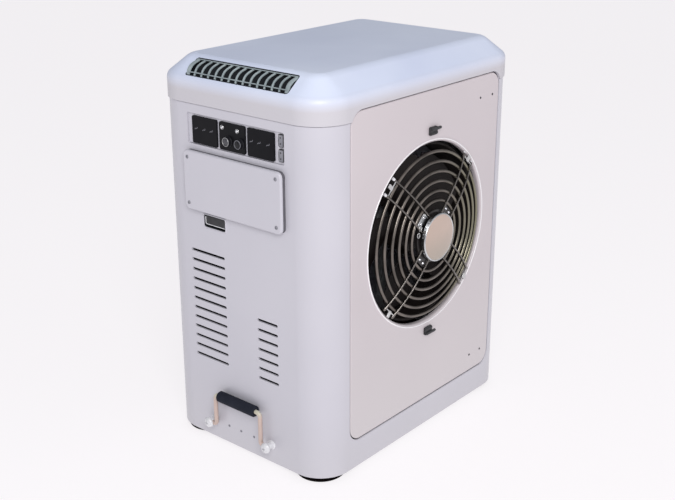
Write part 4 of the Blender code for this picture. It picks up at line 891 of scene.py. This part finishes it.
def fascia():
    """The sunk panel under the modules."""
    shape = bmesh.new()
    face = SIDE_X + 0.0035
    bottom, top, half = PANEL
    middle_z, half_z = (bottom + top) / 2, (top - bottom) / 2 - 0.0003
    pad(shape, on_side, (0, middle_z), half - 0.0003, half_z, 0.0037, face + 0.002, face, 0.0003)
    piece("fascia_panel", shape, PAINT, "cabinet", ["control_fascia"], "cabinet_white")
    surround = bmesh.new()
    low_y, high_y = node_box("rocker_upper")[0].y, node_box("rocker_upper")[1].y
    for name in ("rocker_upper", "rocker_lower"):
        low, high, (_, *centre) = node_span(name)
        outer = rounded(0.007, 0.0131, 0.003, 6)
        inner = rounded((high_y - low_y) / 2 + 0.0004, (high.z - low.z) / 2 + 0.0008, 0.001, 6)
        skin(surround, [on_side(inner, face, *centre), on_side(outer, face, *centre),
                        on_side(outer, SIDE_X - 0.0002, *centre),
                        on_side([p * 0.93 for p in outer], SIDE_X - 0.0008, *centre),
                        on_side(inner, SIDE_X - 0.0008, *centre)], join_ends=True)
    piece("rocker_surrounds", surround, BLACK_PLASTIC, "cabinet", ["control_fascia"], "black_plastic")


def module(name, middle):
    shape = bmesh.new()
    half_z, middle_z = (MODULE_Z[1] - MODULE_Z[0]) / 2, (MODULE_Z[1] + MODULE_Z[0]) / 2
    pad(shape, on_side, (middle, middle_z), MODULE_HALF, half_z, 0.0036, SIDE_X + 0.0032, SIDE_X - 0.001,
        0.0008, 6)
    item = to_object("module_" + name, shape, MODULE)
    if name == "knob_panel":
        holes = bmesh.new()
        for button in ("button_left", "button_right"):
            _, y, z = node_span(button)[2]
            rod(holes, (SIDE_X - 0.01, y, z), (SIDE_X + 0.01, y, z), 0.0039, 24)
        carve(item, holes)
    dress(item, "cabinet", [name], "control_black")


def marks():
    """Three short printed dashes and dots on each display, with no lettering."""
    shape = bmesh.new()
    for places in ((0.11, 0.0866, 0.0653, 0.7365), (-0.05, -0.0714, -0.0958, 0.736)):
        for y in places[:3]:
            z = places[3]
            for offset_y, offset_z, half_y, half_z in ((0.0, 0.0, 0.003, 0.0006),
                                                       (-0.0034, 0.0022, 0.0007, 0.0014),
                                                      (0.0036, -0.0014, 0.0007, 0.0009)):
                pad(shape, on_side, (y + offset_y, z + offset_z), half_y, half_z, 0.0004, SIDE_X - 0.0009,
                    SIDE_X - 0.0012, 0.0001, 2)
    piece("display_marks", shape, MARK, "cabinet", [], "control_black")


def knob(name, ring_bright):
    low, high, (_, *centre) = node_span(name)
    base = (high.x, *centre)
    tall = high.x - low.x
    r = (high.y - low.y) / 2
    body = bmesh.new()
    count = 28
    loops = []
    for height, radius, wave in ((0, r, 0), (0.0012, r, 0), (0.0016, r - 0.001, 0),
                                 (0.0022, r - 0.0012, 0.0003),
                                 (tall - 0.0016, r - 0.0018, 0.0003), (tall - 0.0008, r - 0.0023, 0.0001),
                                 (tall - 0.0004, r - 0.003, 0), (tall - 0.0012, r - 0.0038, 0),
                                 (tall - 0.0014, 0.001, 0)):
        loop = []
        for angle in turns(count * 4):
            reach = radius + wave * math.cos(count * angle)
            loop.append(Vector((base[0] - height, centre[0] + reach * math.cos(angle),
                                centre[1] + reach * math.sin(angle))))
        loops.append(loop)
    skin(body, loops, cap_first=True, cap_last=True)
    piece(name + "_body", body, KNOB, name, [name], "control_black", 40)
    # The left knob's ring is zinc; on the right knob the grey ring is a painted highlight round its rim.
    ring = bmesh.new()
    points = [Vector((base[0] - tall + 0.0007, centre[0] + (r - 0.0028) * math.cos(t),
                      centre[1] + (r - 0.0028) * math.sin(t))) for t in turns(48)]
    tube(ring, points, 0.0006, 8, cyclic=True)
    piece(name + "_ring", ring, ZINC if ring_bright else GREY_PLASTIC, name, [name], "zinc_steel", 60,
          False)
    face = bmesh.new()
    lathe(face, [(0, tall - 0.002), (r - 0.0042, tall - 0.002), (r - 0.0042, tall - 0.0011),
                 (r - 0.0052, tall - 0.0007), (0, tall - 0.0006)], base, (-1, 0, 0), 40)
    box(face, (base[0] - tall, centre[0] - 0.0006, centre[1] + 0.0012),
        (base[0] - tall + 0.0012, centre[0] + 0.0006, centre[1] + r - 0.0045), 0.0002, "ALL", 2)
    piece(name + "_face", face, KNOB_FACE if ring_bright else KNOB, name, [name], "control_black")


def button(name):
    low, high, middle = node_span(name)
    r, tall = (high.y - low.y) / 2, high.x - low.x
    shape = bmesh.new()
    profile = [(0, 0), (r, 0), (r, tall - 0.0026)] + dome(r, tall - 0.0026, 0.0026, 8)
    lathe(shape, profile, (high.x, middle[1], middle[2]), (-1, 0, 0), 32)
    piece(name + "_dome", shape, CHROME, name, [name], "bright_wire", 50)
    collar = bmesh.new()
    outer, inner = r + 0.0014, r + 0.0004
    face = SIDE_X - 0.001
    lathe(collar, [(inner, -0.001), (outer, -0.001), (outer, 0.0003), (outer - 0.0004, 0.0008),
                   (inner, 0.0006),
                   (inner, -0.001)], (face, middle[1], middle[2]), (-1, 0, 0), 32)
    piece(name + "_collar", collar, ZINC, "cabinet", [], "zinc_steel")


def rocker(name):
    low, high, (_, centre_y, centre_z) = node_span(name)
    half_y, half_z = (high.y - low.y) / 2, (high.z - low.z) / 2
    shape = bmesh.new()
    steps = 12
    loops = []
    for step in range(steps + 1):
        share = 2 * step / steps - 1
        z = centre_z + half_z * share
        front = low.x + 0.0001 + 0.0014 * (1 - abs(share))
        end = 0.0006 if abs(share) > 0.99 else 0.0
        loops.append([Vector((high.x, centre_y - half_y, z)), Vector((high.x, centre_y + half_y, z)),
                      Vector((front + 0.0006 + end, centre_y + half_y, z)),
                      Vector((front + end, centre_y + half_y - 0.0006, z)),
                      Vector((front + end, centre_y - half_y + 0.0006, z)),
                      Vector((front + 0.0006 + end, centre_y - half_y, z))])
    skin(shape, loops, cap_first=True, cap_last=True)
    piece(name + "_paddle", shape, GREY_PLASTIC, name, [name], "zinc_steel", 50)
    mark = bmesh.new()
    for offset in (0.0062, -0.0062):
        pad(mark, on_side, (centre_y, centre_z + offset), 0.0017, 0.0017, 0.0016, low.x + 0.0012,
            low.x + 0.0003, 0.0002, 4)
    piece(name + "_marks", mark, BLACK_PLASTIC, name, [name], "control_black")


def service_cover():
    shape = bmesh.new()
    pad(shape, on_side, (COVER_Y, COVER_Z), COVER_HALF_Y, COVER_HALF_Z, 0.013, SIDE_X - 0.0085,
        SIDE_X - COVER_PROUD, 0.0042, 10)
    piece("service_cover_plate", shape, PAINT, "cabinet", ["service_cover"], "cabinet_white")
    # A dark ring behind the cover plate, round its sides: painted shade on the sides, drawn as a seal.
    shade_band = bmesh.new()
    outer = rounded(COVER_HALF_Y - 0.0008, COVER_HALF_Z - 0.0008, 0.0122, 10)
    inner = rounded(COVER_HALF_Y - 0.008, COVER_HALF_Z - 0.008, 0.006, 10)
    middle = (COVER_Y, COVER_Z)
    skin(shade_band, [on_side(inner, SIDE_X - 0.0004, *middle), on_side(outer, SIDE_X - 0.0004, *middle),
                on_side(outer, SIDE_X - 0.0088, *middle), on_side(inner, SIDE_X - 0.0088, *middle)],
         join_ends=True)
    piece("service_cover_shade_band", shade_band, COVER_SIDE_PAINTED_SHADE, "cabinet", ["service_cover"], "rubber")
    for name in ("cover_screw_top_left", "cover_screw_top_right", "cover_screw_bottom_left",
                 "cover_screw_bottom_right"):
        _, high, (_, y, z) = node_span(name)
        screw = bmesh.new()
        screw_head(screw, (high.x + 0.0002, y, z), (-1, 0, 0), 0.004, 0.0018)
        piece(name + "_head", screw, GREY_PLASTIC, "cabinet", [name], "zinc_steel")


def catch():
    middle = (CATCH_Y, CATCH_Z)
    rim = bmesh.new()
    outer = rounded(CATCH_HALF_Y + 0.0024, CATCH_HALF_Z + 0.0024, 0.0074, 8)
    crest = rounded(CATCH_HALF_Y + 0.001, CATCH_HALF_Z + 0.001, 0.006, 8)
    inner = rounded(CATCH_HALF_Y - 0.0006, CATCH_HALF_Z - 0.0006, 0.0044, 8)
    skin(rim, [on_side(outer, SIDE_X - 0.0001, *middle), on_side(crest, SIDE_X - 0.0016, *middle),
               on_side(inner, SIDE_X - 0.0012, *middle), on_side(inner, SIDE_X + 0.0012, *middle),
               on_side(outer, SIDE_X + 0.0003, *middle)], join_ends=True)
    piece("catch_rim", rim, PAINT, "cabinet", ["catch_pocket"], "cabinet_white", 50)
    cup = bmesh.new()
    deep = rounded(CATCH_HALF_Y - 0.0022, CATCH_HALF_Z - 0.0022, 0.0034, 8)
    skin(cup, [on_side(inner, SIDE_X + 0.001, *middle), on_side(inner, SIDE_X + CATCH_DEPTH, *middle)],
         cap_last=True)
    skin(cup, [on_side(inner, SIDE_X + 0.001, *middle), on_side(deep, SIDE_X + 0.0016, *middle),
               on_side(deep, SIDE_X + CATCH_DEPTH - 0.0014, *middle)], cap_last=True)
    bmesh.ops.remove_doubles(cup, verts=cup.verts, dist=1e-6)
    piece("catch_cup", cup, BLACK_AND_PAINTED_SHADE, "cabinet", ["catch_pocket"], "control_black")
    low, high, (_, *centre) = node_span("catch_paddle")
    paddle = bmesh.new()
    half_y, half_z = (high.y - low.y) / 2 - 0.0004, (high.z - low.z) / 2
    pad(paddle, on_side, centre, half_y, half_z, 0.0026, high.x, low.x, 0.0008)
    piece("catch_paddle_plate", paddle, LATCH_FINISH, "catch", ["catch_paddle"], "control_black")
    edge = bmesh.new()
    left, floor = centre[0] + half_y - 0.0012, centre[1] - half_z + 0.0012
    path = smooth_profile([(low.x - 0.0001, left, centre[1] + half_z - 0.002),
                           (low.x - 0.0001, left, floor),
                           (low.x - 0.0001, centre[0] - half_y + 0.0015, floor)], 0.004, 6)
    tube(edge, path, 0.0009, 10)
    piece("catch_paddle_edge", edge, BOSS_FINISH, "catch", ["catch_paddle"], "bright_wire", 60, False)


def handle():
    x = SIDE_X - HANDLE_PROUD
    corners = ((x, HANDLE_Y + BOSS_OFFSET, PIVOT_Z), (x, HANDLE_Y + LEG_OFFSET, PIVOT_Z),
               (x, HANDLE_Y + LEG_OFFSET, GRIP_Z), (x, HANDLE_Y - LEG_OFFSET, GRIP_Z),
               (x, HANDLE_Y - LEG_OFFSET, PIVOT_Z), (x, HANDLE_Y - BOSS_OFFSET, PIVOT_Z))
    shape = bmesh.new()
    tube(shape, smooth_profile(corners, 0.0105, 9), ROD, 24)
    piece("handle_rod", shape, ROD_FINISH, "handle", ["carry_handle"], "cream_rod", 60, False)
    grip = bmesh.new()
    low, high = node_box("handle_grip")
    half, r, bore = (high.y - low.y) / 2, (high.z - low.z) / 2, ROD + 0.0002
    profile = [(bore, half - 0.0004), (r - 0.003, half), (r - 0.0012, half - 0.0006),
               (r - 0.0002, half - 0.002),
               (r, half - 0.004), (r, 0.004 - half), (r - 0.0002, 0.002 - half),
               (r - 0.0012, 0.0006 - half),
               (r - 0.003, -half), (bore, 0.0004 - half), (bore, half - 0.0004)]
    lathe(grip, profile, (x, HANDLE_Y, GRIP_Z), (0, 1, 0), 48)
    piece("handle_grip_foam", grip, FOAM, "handle", ["handle_grip"], "grip_foam", 50)
    for name, side in (("handle_boss_left", 1), ("handle_boss_right", -1)):
        boss = bmesh.new()
        top, r, neck = 0.028, 0.0124, 0.0084
        profile = [(0, 0.0003), (0.0112, 0.0003), (0.0112, 0.0018), (neck, 0.0036), (neck, top - 0.0125),
                   (r - 0.0012, top - 0.01), (r, top - 0.0086)]
        base = (SIDE_X, HANDLE_Y + side * BOSS_OFFSET, PIVOT_Z)
        lathe(boss, profile + dome(r, top - 0.0086, 0.0086, 10), base, (-1, 0, 0), 48)
        item = to_object(name + "_dome", boss, BOSS_FINISH)
        bars = []
        for wide_y, wide_z in ((0.0046, 0.001), (0.001, 0.0046)):
            bar = bmesh.new()
            box(bar, (SIDE_X - 0.03, base[1] - wide_y, PIVOT_Z - wide_z),
                (SIDE_X - 0.0245, base[1] + wide_y, PIVOT_Z + wide_z))
            bars.append(bar)
        bore_cut = bmesh.new()
        rod(bore_cut, (x, base[1] - side * 0.02, PIVOT_Z), (x, base[1] + side * 0.003, PIVOT_Z),
            ROD + 0.0003)
        carve(item, *bars, bore_cut)
        dress(soften(item, 0.0003, 2, 40), "cabinet", [name], "zinc_steel", 40)


def base_marks():
    """Three small plugged fixings under the handle."""
    shape = bmesh.new()
    for y in (0.047, 0.0096, -0.0305):
        screw_head(shape, (SIDE_X + 0.0002, y, 0.0565), (-1, 0, 0), 0.003, 0.0012)
    piece("base_fixings", shape, GREY_PLASTIC, "cabinet", [], "cabinet_white")


# ---------------------------------------------------------------- feet, back and far side

def feet():
    for name in ("foot_front_left", "foot_front_right", "foot_rear_left", "foot_rear_right"):
        low, high, (x, y, _) = node_span(name)
        centre = (x, y, 0)
        r, top = (high.x - low.x) / 2, high.z
        profile = [(0, top), (r - 0.002, top), (r, top - 0.001), (r, 0.0075), (r - 0.0012, 0.0068),
                   (r - 0.0012, 0.0058), (r, 0.005), (r, 0.003), (r - 0.001, 0.001), (r - 0.003, 0), (0, 0)]
        shape = bmesh.new()
        lathe(shape, profile, centre, (0, 0, 1), 56)
        piece(name + "_pad", shape, RUBBER, "cabinet", [name], "rubber", 50)


def rear_grille():
    low, high, (x, _, z) = node_span("rear_grille")
    middle = (x, z)
    half_x, half_z = (high.x - low.x) / 2, (high.z - low.z) / 2
    shape = bmesh.new()
    rim = 0.022

    def loop(inset, y, radius):
        return on_front(rounded(half_x - inset, half_z - inset, radius, 8), y, *middle)

    skin(shape, [loop(0, low.y, 0.0197), loop(0, high.y - 0.002, 0.0197),
                 loop(0.0008, high.y - 0.0005, 0.019),
                 loop(0.0022, high.y, 0.0175), loop(rim - 0.0016, high.y, 0.006),
                 loop(rim, high.y - 0.0016, 0.005),
                 loop(rim, low.y, 0.005)], join_ends=True)
    count = 18
    pitch = (2 * half_z - 0.04) / count
    for slat in range(count + 1):
        z = low.z + 0.02 + slat * pitch
        section = [(low.y + 0.0004, z + 0.0062), (low.y + 0.0016, z + 0.0074), (high.y - 0.0006, z - 0.005),
                   (high.y, z - 0.0064), (high.y - 0.0016, z - 0.0072), (low.y + 0.0004, z + 0.004)]
        left = [Vector((low.x + rim - 0.001, y, max(low.z + 0.004, min(high.z - 0.004, up)))) for y,
                up in section]
        right = [Vector((high.x - rim + 0.001, p.y, p.z)) for p in left]
        skin(shape, [left, right], cap_first=True, cap_last=True)
    for share in (0.25, 0.5, 0.75):
        x = low.x + (high.x - low.x) * share
        box(shape, (x - 0.003, low.y + 0.0002, low.z + 0.01), (x + 0.003, high.y - 0.002, high.z - 0.01),
            0.0008,
            "Z", 2)
    item = to_object("rear_louvres", shape, BLACK_PLASTIC)
    dress(item, "cabinet", ["rear_grille"], "black_plastic", 40)


def ridges(shape, count, middle, reach, ends, thick):
    """Grip ridges round a nut on the far side."""
    for t in turns(count):
        y, z = middle[0] + reach * math.cos(t), middle[1] + reach * math.sin(t)
        tube(shape, [Vector((HALF_X + x, y, z)) for x in ends], thick, 8)


def unions():
    for name in ("water_inlet", "water_outlet"):
        low, high, (_, y, z) = node_span(name)
        reach, inner = high.x - HALF_X, low.x - HALF_X
        profile = [(0.016, reach), (0.02, reach), (0.021, reach - 0.001)]
        for thread in range(4):
            at = reach - 0.002 - thread * 0.0024
            profile += [(0.021, at), (0.0198, at - 0.0012)]
        profile += [(0.021, 0.036), (0.0285, 0.0345), (0.029, 0.033), (0.029, 0.0145), (0.028, 0.0135),
                    (0.021, 0.012), (0.021, 0.0052), (0.0322, 0.005), (0.033, 0.004), (0.033, 0.0003),
                    (0.021, 0.0003), (0.021, inner), (0.016, inner), (0.016, reach)]
        shape = bmesh.new()
        lathe(shape, profile, (HALF_X, y, z), (1, 0, 0), 48)
        ridges(shape, 18, (y, z), 0.0288, (0.0155, 0.032), 0.0012)
        piece(name + "_union", shape, BLACK_PLASTIC, "cabinet", [name], "black_plastic", 40)
    _, y, z = node_span("cable_gland")[2]
    shape = bmesh.new()
    lathe(shape, [(0.0045, 0.026), (0.0068, 0.026), (0.0076, 0.0252), (0.01, 0.019), (0.0108, 0.0175),
                  (0.0108, 0.0085), (0.01, 0.0075), (0.0128, 0.007), (0.013, 0.0062), (0.013, 0.0003),
                  (0.008, 0.0003), (0.008, -0.012), (0.0045, -0.012), (0.0045, 0.026)], (HALF_X, y, z),
          (1, 0, 0), 40)
    ridges(shape, 12, (y, z), 0.0106, (0.0092, 0.017), 0.0008)
    piece("cable_gland_nut", shape, BLACK_PLASTIC, "cabinet", ["cable_gland"], "black_plastic", 40)


# ---------------------------------------------------------------- inside

def can(name, node, profile, material, slot, segments):
    """A turned tank standing where its plain node stands."""
    x, y, _ = node_span(node)[2]
    shape = bmesh.new()
    lathe(shape, profile, (x, y, 0), (0, 0, 1), segments)
    piece(name, shape, material, "cabinet", [node], slot, 45)


def circuits():
    """Smooth tanks in place of the plain ones."""
    low, high = node_box("compressor")
    r, top, floor = 0.058, high.z, low.z
    profile = [(0, top), (0.011, top), (0.012, top - 0.001), (0.014, top - 0.008)]
    profile += shoulder(r, top - 0.04, 0.03, 2)
    profile += [(r, 0.15), (r + 0.0012, 0.148), (r + 0.0012, 0.142), (r, 0.14), (r, 0.05),
                (r - 0.004, 0.036),
                (r + 0.008, 0.031), (r + 0.01, 0.028), (r + 0.01, floor), (0, floor)]
    can("compressor_can", "compressor", profile, TANK, "fan_black", 64)
    low, high = node_box("accumulator")
    r, top, floor = 0.034, high.z, low.z
    profile = [(0, top), (0.011, top), (0.012, top - 0.001)]
    profile += shoulder(r, top - 0.022, 0.018, 3)
    profile += [(r, 0.06), (r - 0.002, 0.05), (r - 0.006, 0.044), (r - 0.006, floor), (0, floor)]
    can("accumulator_can", "accumulator", profile, TANK, "fan_black", 48)
    low, high = node_box("water_exchanger")
    r, top, floor = 0.085, high.z, low.z
    profile = [(0, top), (r - 0.02, top), (r - 0.012, top - 0.002), (r - 0.004, top - 0.007),
               (r, top - 0.019)]
    for rib in range(5):
        at = 0.205 - rib * 0.036
        profile += [(r, at), (r - 0.0015, at - 0.002), (r - 0.0015, at - 0.01), (r, at - 0.012)]
    profile += [(r, 0.04), (r - 0.006, 0.03), (r - 0.006, floor), (0, floor)]
    can("exchanger_can", "water_exchanger", profile, BLACK_PLASTIC, "black_plastic", 72)


def coil_end():
    """A near-black upright sheet between the coil's end and the cabinet's control side: painted shade, so
    the inside seen through the vent slots stays dark.
    """
    low, high = node_box("evaporator_coil")
    shape = bmesh.new()
    box(shape, (SIDE_X + WALL + 0.002, low.y + 0.004, 0.09), (low.x - 0.001, low.y + 0.0055, high.z),
        0.0004,
        "ALL", 2)
    box(shape, (low.x - 0.0025, low.y + 0.004, 0.09), (low.x - 0.001, high.y - 0.004, high.z), 0.0004,
        "ALL", 2)
    piece("coil_end_painted_shade", shape, BLACK_AND_PAINTED_SHADE, "cabinet", [], "black_plastic")


CARRIED = {"base_pan": STEEL, "fan_deck": STEEL, "fan_bulkhead": STEEL, "motor_bracket": STEEL,
           "control_box": STEEL, "hinge_leaf_top": ZINC, "hinge_leaf_bottom": ZINC,
           "hinge_bracket_top": ZINC,
           "hinge_bracket_bottom": ZINC, "evaporator_coil": FINS, "reversing_valve": COPPER,
           "discharge_line": COPPER, "suction_line": COPPER}


def carried_nodes():
    for name, material in CARRIED.items():
        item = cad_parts[name]
        for slot in item.material_slots:
            slot.material = material


# ---------------------------------------------------------------- floor, light and camera

def floor():
    shape = bmesh.new()
    reach = 14.0
    corners = [Vector((x, y, 0)) for x, y in ((-reach, -reach), (reach, -reach), (reach, reach),
                                              (-reach, reach))]
    shape.faces.new([shape.verts.new(corner) for corner in corners])
    made, tree, shader = tree_of("floor_pale")
    noise = add(tree, "TexNoise", Scale=0.6)
    colour = add_ramp(tree, noise.outputs["Fac"], (0.24, 0.24, 0.24), (0.26, 0.255, 0.26))
    link(tree, colour, shader.inputs["Base Color"])
    put(shader, Roughness=0.9, Specular_IOR_Level=0.1, Emission_Color=(1.0, 0.972, 0.995, 1),
        Emission_Strength=0.77)
    item = to_object("floor", shape, made)


def area_light(name, direction, distance, size, power, colour):
    light = bpy.data.lights.new(name, "AREA")
    light.shape = "DISK"
    light.size = size
    light.energy = power
    light.color = colour
    item = bpy.data.objects.new(name, light)
    way = Vector(direction).normalized()
    item.location = Vector((0, 0, 0.45)) + way * distance
    item.rotation_euler = way.to_track_quat("Z", "Y").to_euler()
    bpy.context.scene.collection.objects.link(item)


def lights():
    world = bpy.data.worlds.new("soft_sky")
    bpy.context.scene.world = world
    world.use_nodes = True
    background = world.node_tree.nodes["Background"]
    background.inputs["Color"].default_value = (0.93, 0.95, 1.0, 1)
    background.inputs["Strength"].default_value = 0.43
    area_light("key", (-0.66, -0.62, 0.54), 4.2, 2.2, 104, (1.0, 0.985, 0.97))
    area_light("side_fill", (0.35, -1.0, 0.35), 3.6, 2.2, 9, (1.0, 0.93, 0.92))


def camera():
    yaw, pitch, roll = math.radians(40.2516), math.radians(20.1415), math.radians(-0.1413)
    ahead = Vector((math.cos(yaw) * math.cos(pitch), math.sin(yaw) * math.cos(pitch), -math.sin(pitch)))
    right = Vector((math.sin(yaw), -math.cos(yaw), 0))
    up = right.cross(ahead)
    across = right * math.cos(roll) + up * math.sin(roll)
    over = up * math.cos(roll) - right * math.sin(roll)
    turn = Matrix((across, over, -ahead)).transposed().to_4x4()
    turn.translation = Vector((-1.8823, -1.5789, 1.3229)) + HOME
    lens = bpy.data.cameras.new("camera")
    lens.sensor_width = 36
    lens.lens = 59.67
    lens.shift_x = -0.0005
    lens.shift_y = -0.0173
    item = bpy.data.objects.new("camera", lens)
    item.matrix_world = turn
    bpy.context.scene.collection.objects.link(item)
    bpy.context.scene.camera = item


bpy.context.scene.view_settings.view_transform = "Standard"
cabinet()
seam_strip()
cap()
cap_grille()
fan_door()
door_screws()
guard()
hub()
badge()
latch(1, "top")
latch(-1, "bottom")
rotor()
shroud()
motor()
fascia()
for module_name, module_middle in MODULES.items():
    module(module_name, module_middle)
marks()
knob("knob_left", True)
knob("knob_right", False)
for button_name in ("button_left", "button_right"):
    button(button_name)
for rocker_name in ("rocker_upper", "rocker_lower"):
    rocker(rocker_name)
service_cover()
catch()
handle()
base_marks()
feet()
rear_grille()
unions()
circuits()
coil_end()
carried_nodes()
floor()
lights()
camera()
